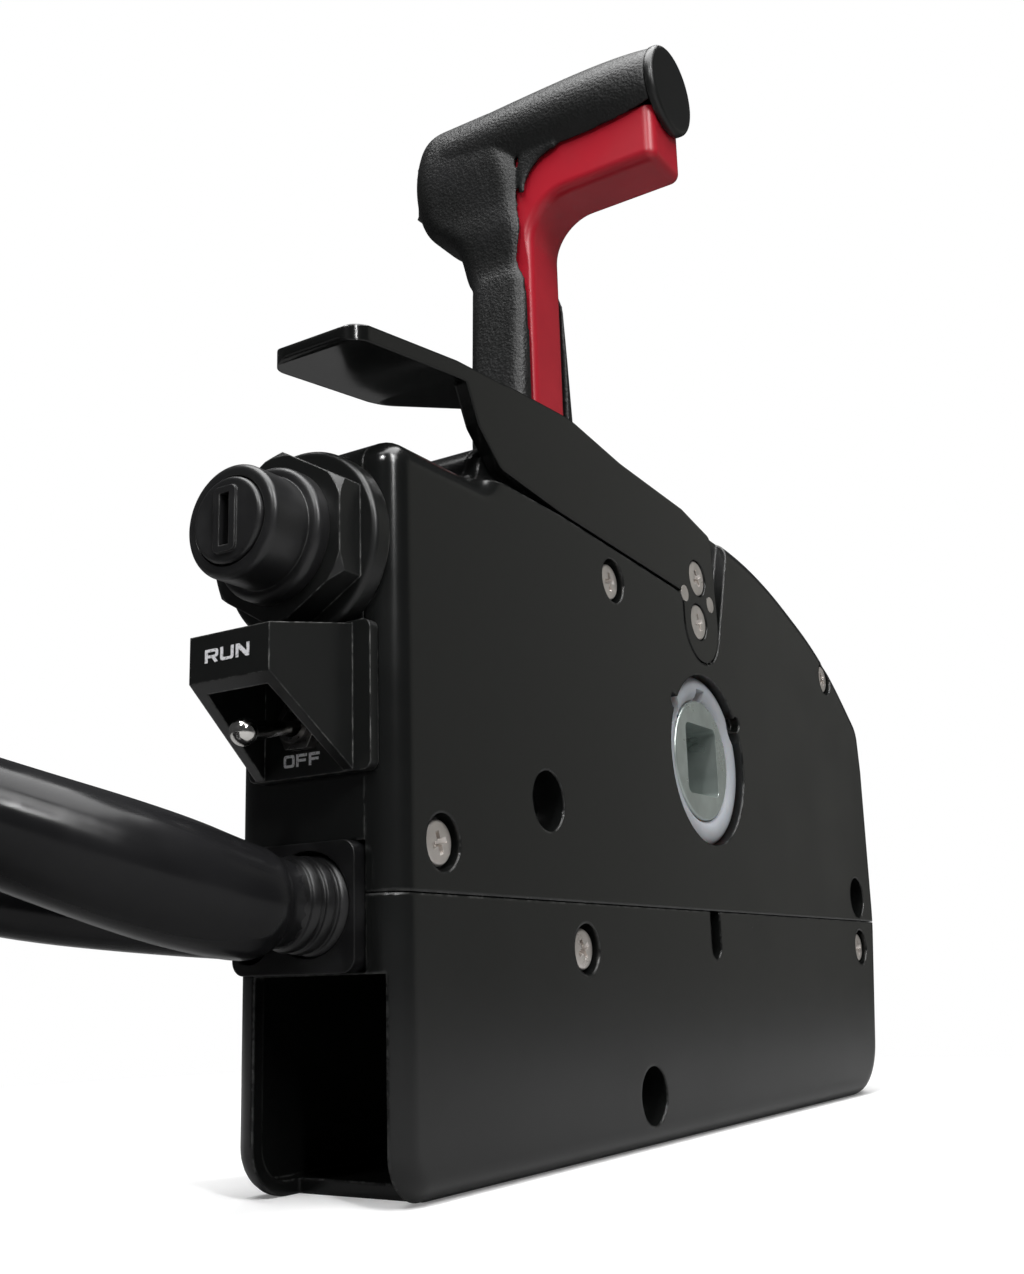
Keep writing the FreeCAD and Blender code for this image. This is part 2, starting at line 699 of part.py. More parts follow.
def make_key_rotor():
    rotor = cyl_x(key_y, key_z, key_rotor_radius, -key_reach + 0.6, 1.6)
    rotor = rotor.makeFillet(0.9, [e for e in rotor.Edges if e.BoundBox.XMax < -key_reach + 1.0])
    half_h = key_slot_height / 2.0
    half_w = key_slot_width / 2.0
    rib = [(key_y - half_w - 1.6, key_z - half_h - 1.4, 1.2), (key_y + half_w + 1.6, key_z - half_h - 1.4, 1.2),
           (key_y + half_w + 1.6, key_z + half_h + 1.4, 1.2), (key_y - half_w - 1.6, key_z + half_h + 1.4, 1.2)]
    rotor = fuse(rotor, end_plate(rib, -key_reach, -key_reach + 2.0))
    slot = box(-key_reach - 1.0, -key_reach + 9.0, key_y - half_w, key_y + half_w, key_z - half_h, key_z + half_h)
    return rotor.cut(slot)


def guard_section(limits, x, inset, drop):
    y0, y1, z0, z1 = limits
    pts = [V(x, y0 + inset, z0 - drop), V(x, y1 - inset, z0 - drop), V(x, y1 - inset, z1 - inset),
           V(x, y0 + inset, z1 - inset)]
    return Part.makePolygon(pts + [pts[0]])


def make_switch_guard():
    y0, y1, z0, z1 = guard_base
    plate = end_plate([(y0, z0, 2.0), (y1, z0, 2.0), (y1, z1, 2.0), (y0, z1, 2.0)], -guard_plate, 0.0)
    root = guard_section(guard_root, -guard_plate + 0.5, 0.0, 0.0)
    front = guard_section(guard_front, -guard_reach, 0.0, 0.0)
    hood = Part.makeLoft([root, front], True, True)
    roof = guard_root[:3] + (guard_root[3] - guard_roof_drop,)
    inner_root = guard_section(roof, -guard_plate, guard_wall, 12.0)
    inner_front = guard_section(guard_front, -guard_reach + guard_wall, guard_wall, 12.0)
    inner = Part.makeLoft([inner_root, inner_front], True, True)
    guard = fuse(plate, hood.cut(inner))
    guard = guard.cut(cyl_x(key_y, key_z, key_nut_flange + 0.3, -11.5, 1.0))
    return guard.cut(cyl_x(switch_y, switch_z, 4.0, -guard_plate - 1.0, 1.0))


def make_toggle_body():
    case = end_plate([(switch_y - 6.5, switch_z - 6.5, 1.0), (switch_y + 6.5, switch_z - 6.5, 1.0),
                      (switch_y + 6.5, switch_z + 6.5, 1.0), (switch_y - 6.5, switch_z + 6.5, 1.0)], wall, 22.0)
    bush = cyl_x(switch_y, switch_z, 3.9, -6.2, wall)
    tabs = [box(21.0, 28.0, switch_y - 2.4, switch_y + 2.4, switch_z + d - 0.5, switch_z + d + 0.5)
            for d in (-4.0, 4.0)]
    body = fuse(case, bush, *tabs)
    return body.cut(cyl_x(switch_y, switch_z, 2.7, -7.0, 1.0))


def make_toggle_nut():
    ring = []
    for k in range(6):
        a = k * math.pi / 3.0
        ring.append(V(-5.0, switch_y + 5.6 * math.cos(a), switch_z + 5.6 * math.sin(a)))
    nut = Part.Face(Part.makePolygon(ring + [ring[0]])).extrude(V(2.5, 0, 0))
    return nut.cut(cyl_x(switch_y, switch_z, 3.9, -6.0, 0.0))


def make_toggle_lever():
    ball = Part.makeSphere(toggle_ball_radius, V(0, 0, toggle_length))
    stick = Part.makeCone(1.2, 2.1, toggle_length, V(0, 0, 0))
    pin = Part.makeCylinder(1.0, 4.7, V(0, -2.35, 0), V(0, 1, 0))
    lever = fuse(stick, ball, Part.makeSphere(2.3), pin)
    lever.rotate(V(0, 0, 0), V(0, 1, 0), -90.0 - toggle_drop)
    lever.translate(V(-3.0, switch_y, switch_z))
    return lever


def make_grommet():
    corners = [(grommet_near, grommet_low, 3.0), (grommet_far, grommet_low, 3.0),
               (grommet_far, grommet_high, 3.0), (grommet_near, grommet_high, 3.0)]
    block = end_plate(corners, -grommet_lip, grommet_depth)
    for points, diameter in ((harness_points, harness_diameter), (lead_points, lead_diameter)):
        start = V(*points[0])
        aim = (V(*points[1]) - start).normalize()
        block = block.cut(Part.makeCylinder(diameter / 2.0 + cord_gap, 30.0, start, aim))
    return block


# Cord: straight runs joined by tangent arcs, as one round tube
def cord(points, diameter, name):
    pts = [V(*p) for p in points]
    edges = []
    radii = []
    last = pts[0]
    length = 0.0
    for i in range(1, len(pts) - 1):
        back = pts[i - 1] - pts[i]
        ahead = pts[i + 1] - pts[i]
        short = min(back.Length, ahead.Length)
        back.normalize()
        ahead.normalize()
        turn = math.pi - back.getAngle(ahead)
        radius = 0.45 * short / math.tan(turn / 2.0)
        reach = 0.45 * short
        inward = (back + ahead).normalize()
        centre = pts[i] + inward * (radius / math.cos(turn / 2.0))
        start = pts[i] + back * reach
        end = pts[i] + ahead * reach
        middle = centre - inward * radius
        edges.append(Part.LineSegment(last, start).toShape())
        edges.append(Part.Arc(start, middle, end).toShape())
        length += (start - last).Length + radius * turn
        last = end
        radii.append(radius)
    edges.append(Part.LineSegment(last, pts[-1]).toShape())
    length += (pts[-1] - last).Length
    path = Part.Wire(edges)
    ring = Part.Wire(Part.makeCircle(diameter / 2.0, pts[0], pts[1] - pts[0]))
    tube = path.makePipeShell([ring], True, False)
    want = math.pi * diameter * diameter / 4.0 * length
    print(name, "bend radii", [round(r, 1) for r in radii], "length", round(length, 1),
          "volume ratio", round(tube.Volume / want, 4))
    return tube


# Folded harness: two turns side by side and three layers, tied into a long ring
def stadium(half):
    x, y = hank_centre
    middle = box(x - hank_straight / 2.0, x + hank_straight / 2.0, y - half, y + half, 0.0, hank_high)
    ends = [Part.makeCylinder(half, hank_high, V(x + side * hank_straight / 2.0, y, 0)) for side in (-1.0, 1.0)]
    return fuse(middle, *ends).removeSplitter()


def make_hank():
    inner = stadium(hank_inner_turn - harness_diameter / 2.0 - hank_slack)
    outer = stadium(hank_inner_turn + (hank_turns - 0.5) * harness_diameter + hank_slack)
    rims = [e for e in outer.Edges if e.BoundBox.ZMax - e.BoundBox.ZMin < 0.1]
    return outer.makeFillet(harness_diameter * 0.4, rims).cut(inner)


# The tail leaves the lowest inner turn and ends in its plug on the floor inside the ring
def make_tail():
    return cord(tail_points, harness_diameter, "harness_tail")


def make_plug():
    tip = V(*tail_points[-1])
    aim = (tip - V(*tail_points[-2])).normalize()
    nose = tip + aim * 12.0
    boot = Part.makeCone(harness_diameter / 2.0 + 1.0, plug_radius - 3.0, 12.0, tip, aim)
    body = Part.makeCylinder(plug_radius - 1.8, plug_length - 22.0, nose, aim)
    ring = Part.makeCylinder(plug_radius - 0.6, 6.0, nose + aim * 6.0, aim)
    pins = Part.makeCylinder(plug_radius - 4.5, plug_length - 12.0, nose, aim)
    return fuse(boot, body, ring, pins)


def make_lead_plug():
    a = V(*lead_points[-2])
    b = V(*lead_points[-1])
    aim = (b - a).normalize()
    flat = V(aim.x, aim.y, 0).normalize()
    body = Part.makeCylinder(lead_plug_radius - 0.9, lead_plug_length, b, flat)
    ring = Part.makeCylinder(lead_plug_radius - 0.2, 5.0, b + flat * 9.0, flat)
    return fuse(body, ring)


def stem_half(z):
    slope = (stem_half_low - stem_half_high) / (stem_high - arm_split)
    return stem_half_high + (stem_high - z) * slope


# Round hub with the lower arm rising to the joint of the grip moulding
def make_handle_arm():
    hub = cyl_y(pivot_x, pivot_z, hub_radius, arm_near, arm_far)
    half = stem_half(arm_split)
    low = hub_radius * 0.93
    corners = [(pivot_x - low, pivot_z + 11.0, 0.0), (pivot_x + low, pivot_z + 11.0, 0.0),
               (pivot_x + half, arm_split, 0.0), (pivot_x - half, arm_split, 0.0)]
    blade = side_plate(corners, arm_near, arm_far)
    arm = fuse(hub, blade)
    edges = [e for e in outline_edges(arm, arm_far) if e.BoundBox.ZMax < arm_split + 0.5
             and e.BoundBox.ZMax - e.BoundBox.ZMin > 0.5]
    arm = arm.makeFillet(3.6, edges)
    tenon = box(pivot_x - tenon_half, pivot_x + tenon_half, arm_far - 3.5 - tenon_depth, arm_far - 3.5,
                arm_split - 1.0, arm_split + tenon_length)
    arm = fuse(arm, tenon)
    groove = box(pivot_x - groove_half, pivot_x + groove_half, arm_near - 1.0, arm_near + groove_depth,
                 strip_low - 9.0, arm_split + 30.0)
    arm = arm.cut(groove)
    arm = arm.cut(cyl_y(pivot_x, pivot_z, journal_radius, arm_near - 1.0, arm_far - 4.0))
    return arm.cut(cyl_y(pivot_x, pivot_z, 4.2, arm_near, arm_far + 1.0))


def make_handle_bolt():
    head = cyl_y(pivot_x, pivot_z, 9.0, arm_far, arm_far + 5.0)
    head = head.makeFillet(1.4, outline_edges(head, arm_far + 5.0))
    shank = cyl_y(pivot_x, pivot_z, 4.0, arm_far - 20.0, arm_far)
    key = []
    for k in range(6):
        a = k * math.pi / 3.0
        key.append((pivot_x + 4.6 * math.cos(a), pivot_z + 4.6 * math.sin(a)))
    return fuse(head, shank).cut(plate_from_points(key, arm_far + 2.0, arm_far + 6.0))


def make_lock_ring():
    ring = cyl_y(pivot_x, pivot_z, ring_radius, ring_near, arm_near - ring_gap)
    ring = ring.cut(cyl_y(pivot_x, pivot_z, journal_radius + bushing_wall, ring_near - 1.0, arm_near))
    half = 4.5
    notch = box(pivot_x - half, pivot_x + half, ring_near - 1.0, arm_near, pivot_z + ring_radius - 5.0,
                pivot_z + ring_radius + 5.0)
    return ring.cut(notch)


# Upper stem and grip: sections up the stem into the head, then the barrel across it
def make_grip_shell():
    far = grip_far - 0.5
    rows = [
        (arm_split, stem_half(arm_split), arm_far, 4.0),
        (215.0, stem_half(215.0), arm_far + 2.2, 4.4),
        (245.0, stem_half(245.0), arm_far + 3.0, 4.8),
        (264.0, stem_half(264.0), arm_far + 3.6, 5.2),
        (277.0, 13.4, arm_far + 8.5, 6.2),
        (286.0, 13.9, far - 10.5, 7.4),
        (291.0, 13.8, far - 4.4, 8.6),
        (299.0, 14.4, far - 0.6, 9.4),
        (316.0, 14.6, far, 9.4),
        (323.5, 13.2, far - 1.6, 9.0),
        (328.5, 9.6, far - 6.0, 7.5),
    ]
    sections = []
    for z, half, y1, radius in rows:
        near = grip_front if z < 300.0 else grip_front + (z - 300.0) * 0.28
        sections.append(rounded_rect_z(pivot_x - half, pivot_x + half, near, y1, z, radius))
    stem = Part.makeLoft(sections[:4], True, True)
    head = Part.makeLoft(sections[3:], True, False, False, 3)
    near_end = grip_near + end_cap_thickness
    circles = []
    for y, z, radius in ((near_end, end_cap_z, end_cap_radius), (12.0, grip_axis_z + 0.2, grip_radius),
                         (38.0, grip_axis_z + 0.1, grip_radius + 0.5), (58.0, grip_axis_z, grip_radius + 0.2),
                         (78.0, grip_axis_z - 0.3, grip_radius - 0.6)):
        circles.append(Part.Wire(Part.makeCircle(radius, V(pivot_x, y, z), V(0, 1, 0))))
    barrel = Part.makeLoft(circles, True, False)
    web = box(pivot_x - web_half, pivot_x + web_half, grip_front - web_radius, grip_front + 2.0,
              web_high - 7.0 - web_radius, web_high)
    web = web.cut(cyl_x(grip_front - web_radius, web_high - 7.0 - web_radius, web_radius, pivot_x - 20.0, pivot_x + 20.0))
    shell = fuse(stem, head, barrel, web)
    slide = trigger_gap
    groove = box(pivot_x - groove_half, pivot_x + groove_half, grip_front - 1.0, arm_near + groove_depth,
                 arm_split - 1.0, trigger_high)
    well = box(pivot_x - trigger_half - slide, pivot_x + trigger_half + slide, near_end - 1.0,
               arm_near + groove_depth, 240.0, trigger_high + trigger_travel + 0.6)
    shell = shell.cut(groove).cut(well)
    seat = Part.makeCylinder(spring_radius + 1.2, spring_high - trigger_high, V(pivot_x, spring_y, trigger_high))
    shell = shell.cut(seat)
    tenon = box(pivot_x - tenon_half - 0.1, pivot_x + tenon_half + 0.1, arm_far - 3.6 - tenon_depth, arm_far - 3.4,
                arm_split - 1.0, arm_split + tenon_length + 0.2)
    shell = shell.cut(tenon)
    pocket = box(pivot_x - rocker_half_width - bezel_rim, pivot_x + rocker_half_width + bezel_rim,
                 far - 10.0, far + 5.0, rocker_z - rocker_half_height - bezel_rim,
                 rocker_z + rocker_half_height + bezel_rim)
    return shell.cut(pocket)


def make_end_cap():
    disc = cyl_y(pivot_x, end_cap_z, end_cap_radius + 0.3, grip_near, grip_near + end_cap_thickness)
    return disc.makeFillet(1.6, outline_edges(disc, grip_near))


# Trigger under the grip, bent down into the strip that runs in the stem groove
def make_lock_trigger():
    y0 = arm_near + 0.1
    y1 = y0 + strip_thickness
    front = grip_front + 0.1
    bend_y = front - trigger_bend
    bend_z = trigger_low - trigger_bend
    cut45 = trigger_bend * math.sqrt(0.5)
    nose = 3.0
    nose_cut = nose * (1.0 - math.sqrt(0.5))
    edges = [
        Part.Arc(V(0, trigger_near, trigger_low + nose), V(0, trigger_near + nose_cut, trigger_low + nose_cut),
                 V(0, trigger_near + nose, trigger_low)).toShape(),
        Part.makeLine(V(0, trigger_near + nose, trigger_low), V(0, bend_y, trigger_low)),
        Part.Arc(V(0, bend_y, trigger_low), V(0, bend_y + cut45, bend_z + cut45), V(0, front, bend_z)).toShape(),
        Part.makeLine(V(0, front, bend_z), V(0, front, grip_step)),
        Part.makeLine(V(0, front, grip_step), V(0, y0, grip_step)),
        Part.makeLine(V(0, y0, grip_step), V(0, y0, strip_low)),
        Part.makeLine(V(0, y0, strip_low), V(0, y1, strip_low)),
        Part.makeLine(V(0, y1, strip_low), V(0, y1, trigger_high)),
        Part.makeLine(V(0, y1, trigger_high), V(0, trigger_near, trigger_high)),
        Part.makeLine(V(0, trigger_near, trigger_high), V(0, trigger_near, trigger_low + nose)),
    ]
    face = Part.Face(Part.Wire(edges))
    face.translate(V(pivot_x - trigger_half, 0, 0))
    body = face.extrude(V(2.0 * trigger_half, 0, 0))
    rims = [e for e in body.Edges if e.BoundBox.XMax - e.BoundBox.XMin < 0.1
            and e.CenterOfMass.z < bend_z + trigger_bend + 2.0 and e.CenterOfMass.y < front + 0.05
            and e.CenterOfMass.z > grip_step + 1.0]
    body = body.makeFillet(trigger_round, rims)
    sides = [(pivot_x - trigger_half - 0.1, trigger_high + 1.0, 0.0), (pivot_x - trigger_half - 0.1, 283.0, 8.0),
             (pivot_x - strip_half, 268.0, 8.0), (pivot_x - strip_half, strip_low - 1.0, 0.0),
             (pivot_x + strip_half, strip_low - 1.0, 0.0), (pivot_x + strip_half, 268.0, 8.0),
             (pivot_x + trigger_half + 0.1, 283.0, 8.0), (pivot_x + trigger_half + 0.1, trigger_high + 1.0, 0.0)]
    body = body.common(side_plate(sides, trigger_near - 1.0, y1 + 1.0))
    recess = box(pivot_x - 20.0, pivot_x + 20.0, grip_front - 0.2, y1 + 1.0, trigger_high - 1.0, trigger_high + 1.0)
    body = body.cut(recess)
    return body.cut(Part.makeCylinder(spring_radius + 1.0, trigger_high - spring_low + 1.0,
                                      V(pivot_x, spring_y, spring_low)))


def make_trigger_spring():
    high = spring_high - spring_low - 2.0 * spring_wire - 0.1
    pitch = high / spring_turns
    helix = Part.makeHelix(pitch, high, spring_radius)
    helix.translate(V(pivot_x, spring_y, spring_low + spring_wire + 0.05))
    ring = Part.Wire(Part.makeCircle(spring_wire, V(pivot_x + spring_radius, spring_y,
                                                    spring_low + spring_wire + 0.05), V(0, 1, 0)))
    return Part.Wire(helix.Edges).makePipeShell([ring], True, True)


def make_lock_pin():
    y0 = arm_near + 0.1
    low = pivot_z + ring_radius + 0.6
    foot = box(pivot_x - 4.0, pivot_x + 4.0, ring_near + 0.7, y0 + strip_thickness - 0.6, low, strip_low)
    return foot


def make_trim_bezel():
    far = grip_far - 0.5
    w = rocker_half_width + bezel_rim
    h = rocker_half_height + bezel_rim
    body = box(pivot_x - w, pivot_x + w, far - 10.0, far + 0.5, rocker_z - h, rocker_z + h)
    w = rocker_half_width + rocker_gap
    h = rocker_half_height + rocker_gap
    return body.cut(box(pivot_x - w, pivot_x + w, far - 8.0, far + 5.0, rocker_z - h, rocker_z + h))


def make_trim_rocker():
    far = grip_far - 0.5
    edges = [
        Part.makeLine(V(0, far - 3.0, rocker_z - rocker_half_height), V(0, far - 3.0, rocker_z + rocker_half_height)),
        Part.makeLine(V(0, far - 3.0, rocker_z + rocker_half_height),
                      V(0, grip_far + rocker_out, rocker_z + rocker_half_height)),
        Part.Arc(V(0, grip_far + rocker_out, rocker_z + rocker_half_height), V(0, grip_far, rocker_z),
                 V(0, grip_far + rocker_out, rocker_z - rocker_half_height)).toShape(),
        Part.makeLine(V(0, grip_far + rocker_out, rocker_z - rocker_half_height),
                      V(0, far - 3.0, rocker_z - rocker_half_height)),
    ]
    face = Part.Face(Part.Wire(edges))
    face.translate(V(pivot_x - rocker_half_width, 0, 0))
    rocker = face.extrude(V(2.0 * rocker_half_width, 0, 0))
    axle = cyl_x(far - 3.0, rocker_z, 1.5, pivot_x - rocker_half_width - rocker_gap + 0.1,
                 pivot_x + rocker_half_width + rocker_gap - 0.1)
    return fuse(rocker, axle)


MAKERS = {
    "main_housing": make_main_housing,
    "upper_cover": make_upper_cover,
    "lower_cover": make_lower_cover,
    "cover_screws": make_cover_screws,
    "near_bushing": make_near_bushing,
    "far_bushing": make_far_bushing,
    "lock_ring": make_lock_ring,
    "shift_stud": make_shift_stud,
    "detent_leaf": make_detent_leaf,
    "cable_anchor": make_cable_anchor,
    "cable_retainer": make_cable_retainer,
    "key_body": make_key_body,
    "key_nut": make_key_nut,
    "key_collar": make_key_collar,
    "switch_guard": make_switch_guard,
    "toggle_body": make_toggle_body,
    "toggle_nut": make_toggle_nut,
    "harness_grommet": make_grommet,
    "main_shaft": make_main_shaft,
    "drive_gear": make_drive_gear,
    "throttle_lever": make_throttle_lever,
    "detent_wheel": make_detent_wheel,
    "handle_arm": make_handle_arm,
    "handle_bolt": make_handle_bolt,
    "grip_shell": make_grip_shell,
    "end_cap": make_end_cap,
    "trim_bezel": make_trim_bezel,
    "lock_trigger": make_lock_trigger,
    "lock_pin": make_lock_pin,
    "trigger_spring": make_trigger_spring,
    "trim_rocker": make_trim_rocker,
    "shift_sector": make_shift_sector,
    "idle_lever": make_idle_lever,
    "idle_crank": make_idle_crank,
    "lever_screws": make_lever_screws,
    "lever_pins": make_lever_pins,
    "key_rotor": make_key_rotor,
    "toggle_lever": make_toggle_lever,
    "harness": lambda: cord(harness_points, harness_diameter, "harness"),
    "harness_hank": make_hank,
    "harness_tail": make_tail,
    "harness_plug": make_plug,
    "gauge_lead": lambda: cord(lead_points, lead_diameter, "gauge_lead"),
    "lead_plug": make_lead_plug,
}

os.makedirs("parts", exist_ok=True)
for node, maker in MAKERS.items():
    shape = maker()
    if not shape.isValid() or shape.Volume <= 0:
        print("check", node, shape.isValid(), round(shape.Volume, 1))
    shape.translate(V(-offset_x, -offset_y, 0))
    bound = shape.BoundBox
    print(node, len(shape.Solids), round(shape.Volume), [round(v, 1) for v in (bound.XMin, bound.YMin, bound.ZMin,
                                                         bound.XMax, bound.YMax, bound.ZMax)])
    shape.exportStep("parts/" + node + ".step")
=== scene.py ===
import math
import bpy
import bmesh
from mathutils import Matrix, Vector


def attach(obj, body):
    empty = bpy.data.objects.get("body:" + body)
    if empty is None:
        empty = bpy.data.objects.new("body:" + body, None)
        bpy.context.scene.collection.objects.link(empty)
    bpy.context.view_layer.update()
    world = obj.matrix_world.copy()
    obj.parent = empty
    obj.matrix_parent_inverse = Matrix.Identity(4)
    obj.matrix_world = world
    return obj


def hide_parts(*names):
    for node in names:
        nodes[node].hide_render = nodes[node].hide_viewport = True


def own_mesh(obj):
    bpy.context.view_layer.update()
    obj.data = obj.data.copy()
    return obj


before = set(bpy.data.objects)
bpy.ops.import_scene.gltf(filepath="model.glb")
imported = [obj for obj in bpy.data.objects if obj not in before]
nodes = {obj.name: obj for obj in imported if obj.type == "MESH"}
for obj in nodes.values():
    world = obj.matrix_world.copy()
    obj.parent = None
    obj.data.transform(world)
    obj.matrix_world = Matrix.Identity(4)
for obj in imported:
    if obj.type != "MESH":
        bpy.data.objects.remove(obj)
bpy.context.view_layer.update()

# case coordinates: x from the key-switch end, y from the panel face, both in mm
origin = {"x": 130.0, "y": 47.0}


def spot(x, y, z):
    return Vector(((x - origin["x"]) / 1000, (y - origin["y"]) / 1000, z / 1000))


def mm(value):
    return value / 1000


# the camera stands low at the front corner, looking up a little
camera = {"x": -207.1, "y": -157.3, "z": 40.5, "yaw": 57.18, "pitch": 12.99, "roll": -1.57,
          "focalPixels": 1359.5, "centreX": 496.5, "centreY": 667.8, "wide": 1024, "tall": 1274}


def placeCamera(c):
    yaw, pitch, roll = (math.radians(c[k]) for k in ("yaw", "pitch", "roll"))
    ahead = Vector((math.sin(yaw) * math.cos(pitch), math.cos(yaw) * math.cos(pitch), math.sin(pitch)))
    right = Vector((math.cos(yaw), -math.sin(yaw), 0))
    up = right.cross(ahead)
    rightTurned = right * math.cos(roll) + up * math.sin(roll)
    upTurned = up * math.cos(roll) - right * math.sin(roll)
    data = bpy.data.cameras.new("viewCamera")
    obj = bpy.data.objects.new("viewCamera", data)
    bpy.context.scene.collection.objects.link(obj)
    turn = Matrix((rightTurned, upTurned, -ahead)).transposed().to_4x4()
    obj.matrix_world = Matrix.Translation(spot(c["x"], c["y"], c["z"])) @ turn
    data.sensor_width = 36
    data.lens = c["focalPixels"] * 36 / c["tall"]
    data.shift_x = (c["wide"] / 2 - c["centreX"]) / c["tall"]
    data.shift_y = (c["centreY"] - c["tall"] / 2) / c["tall"]
    data.clip_start = 0.01
    bpy.context.scene.camera = obj


placeCamera(camera)


# shader helpers
class Signal:
    def __init__(self, paint, socket):
        self.paint = paint
        self.socket = socket

    def __add__(self, other):
        return self.paint.maths("ADD", self, other)

    def __sub__(self, other):
        return self.paint.maths("SUBTRACT", self, other)

    def __mul__(self, other):
        return self.paint.maths("MULTIPLY", self, other)

    def __rsub__(self, other):
        return self.paint.maths("SUBTRACT", other, self)

    __radd__ = __add__
    __rmul__ = __mul__


class Paint:
    def __init__(self, name):
        self.material = bpy.data.materials.new(name)
        self.material.use_nodes = True
        self.tree = self.material.node_tree
        self.tree.nodes.clear()

    def node(self, kind, settings=None, sockets=None):
        made = self.tree.nodes.new(kind)
        for key, value in (settings or {}).items():
            setattr(made, key, value)
        for key, value in (sockets or {}).items():
            target = made.inputs[key]
            if isinstance(value, Signal):
                self.tree.links.new(value.socket, target)
            elif isinstance(value, tuple) and target.type == "RGBA":
                target.default_value = (*value, 1) if len(value) == 3 else value
            else:
                target.default_value = value
        return made

    def out(self, made, key=0):
        return Signal(self, made.outputs[key])

    def maths(self, operation, first, second):
        return self.out(self.node("ShaderNodeMath", {"operation": operation}, {0: first, 1: second}))

    def place(self):
        return self.out(self.node("ShaderNodeTexCoord"), "Object")

    def stretched(self, scale):
        made = self.node("ShaderNodeMapping", None, {"Vector": self.place(), "Scale": scale})
        return self.out(made)

    def noise(self, scale, detail=3.0, rough=0.5, where=None):
        made = self.node("ShaderNodeTexNoise", None, {"Vector": where or self.place(), "Scale": scale,
                                                      "Detail": detail, "Roughness": rough})
        return self.out(made)

    def cells(self, scale):
        return self.out(self.node("ShaderNodeTexVoronoi", None, {"Vector": self.place(), "Scale": scale}))

    def band(self, signal, low, high, fromShade=0.0, toShade=1.0):
        made = self.node("ShaderNodeMapRange", None, {"Value": signal, "From Min": low, "From Max": high,
                                                      "To Min": fromShade, "To Max": toShade})
        return self.out(made)

    def blend(self, factor, first, second):
        made = self.node("ShaderNodeMix", {"data_type": "RGBA"}, {0: factor, 6: first, 7: second})
        return self.out(made, 2)

    def bump(self, height, strength, distance, under=None):
        sockets = {"Height": height, "Strength": strength, "Distance": distance}
        if under is not None:
            sockets["Normal"] = under
        return self.out(self.node("ShaderNodeBump", None, sockets))

    def edges(self, radius, low=0.015, high=0.13):
        # rounded normal, and how sharp the edge is that it rounds
        soft = self.out(self.node("ShaderNodeBevel", {"samples": 6}, {"Radius": mm(radius)}))
        flat = self.out(self.node("ShaderNodeNewGeometry"), "True Normal")
        turn = self.node("ShaderNodeVectorMath", {"operation": "DOT_PRODUCT"}, {0: soft, 1: flat})
        return soft, self.band(1 - self.out(turn, "Value"), low, high)

    def finish(self, sockets):
        shader = self.node("ShaderNodeBsdfPrincipled", None, sockets)
        end = self.node("ShaderNodeOutputMaterial")
        self.tree.links.new(shader.outputs[0], end.inputs[0])
        return self.material


print("camera and shader helpers ready")

# finishes
plasticLook = {"colour": (0.0052, 0.0056, 0.0054), "dust": (0.03, 0.03, 0.031),
               "edgeWornAndLit": (0.16, 0.16, 0.155), "rough": 0.22}


def mouldedPlastic(name, look, peel=0.05, dustAmount=0.12, edgeWearAndHighlight=0.3, edge=1.0):
    p = Paint(name)
    soft, sharp = p.edges(edge)
    cloud = p.noise(38, 4, 0.6)
    specks = p.band(p.noise(900, 2, 0.5), 0.66, 0.78)
    dust = specks * p.band(cloud, 0.45, 0.75) * dustAmount
    # lighter colour on sharp edges: edge wear plus a painted highlight along the edges
    lighterMask = sharp * p.band(p.noise(420, 3, 0.6), 0.42, 0.62) * edgeWearAndHighlight
    colour = p.blend(lighterMask, p.blend(dust, look["colour"], look["dust"]), look["edgeWornAndLit"])
    rough = p.band(cloud, 0.3, 0.7, look["rough"] - 0.035, look["rough"] + 0.05) + dust * 0.3
    fine = p.bump(p.noise(520, 3, 0.55), peel, mm(0.05), soft)
    broad = p.bump(p.noise(26, 2, 0.5), peel * 0.8, mm(0.35), fine)
    return p.finish({"Base Color": colour, "Roughness": rough, "IOR": 1.5, "Normal": broad})


gripLook = {"colour": (0.0064, 0.0067, 0.0065), "worn": (0.020, 0.020, 0.021), "grain": 1150.0, "rough": 0.43}


def grainedPlastic(look):
    p = Paint("gripGrain")
    grain = p.cells(look["grain"])
    pebble = p.noise(look["grain"] * 0.6, 3, 0.6)
    lighterMask = p.band(p.noise(30, 3, 0.6), 0.48, 0.72)
    colour = p.blend(lighterMask * 0.5, look["colour"], look["worn"])
    rough = p.band(pebble, 0.3, 0.7, look["rough"] - 0.06, look["rough"] + 0.08) - lighterMask * 0.05
    height = grain * 0.6 + pebble * 0.7
    return p.finish({"Base Color": colour, "Roughness": rough, "IOR": 1.39,
                     "Normal": p.bump(height, 0.6, mm(0.28))})


redLook = {"colour": (0.40, 0.0085, 0.021), "deep": (0.34, 0.007, 0.018), "rough": 0.36}


def redPlastic(look):
    p = Paint("triggerRed")
    cloud = p.noise(45, 3, 0.5)
    colour = p.blend(p.band(cloud, 0.3, 0.7), look["colour"], look["deep"])
    rough = p.band(cloud, 0.3, 0.7, look["rough"] - 0.04, look["rough"] + 0.05)
    return p.finish({"Base Color": colour, "Roughness": rough, "IOR": 1.49, "Subsurface Weight": 0.04,
                     "Normal": p.bump(p.noise(1100, 2, 0.5), 0.10, mm(0.06), p.edges(0.8)[0])})


paintLook = {"colour": (0.0045, 0.0048, 0.0046), "fleck": (0.07, 0.07, 0.075), "fleckShare": 0.10,
             "peel": 0.11}


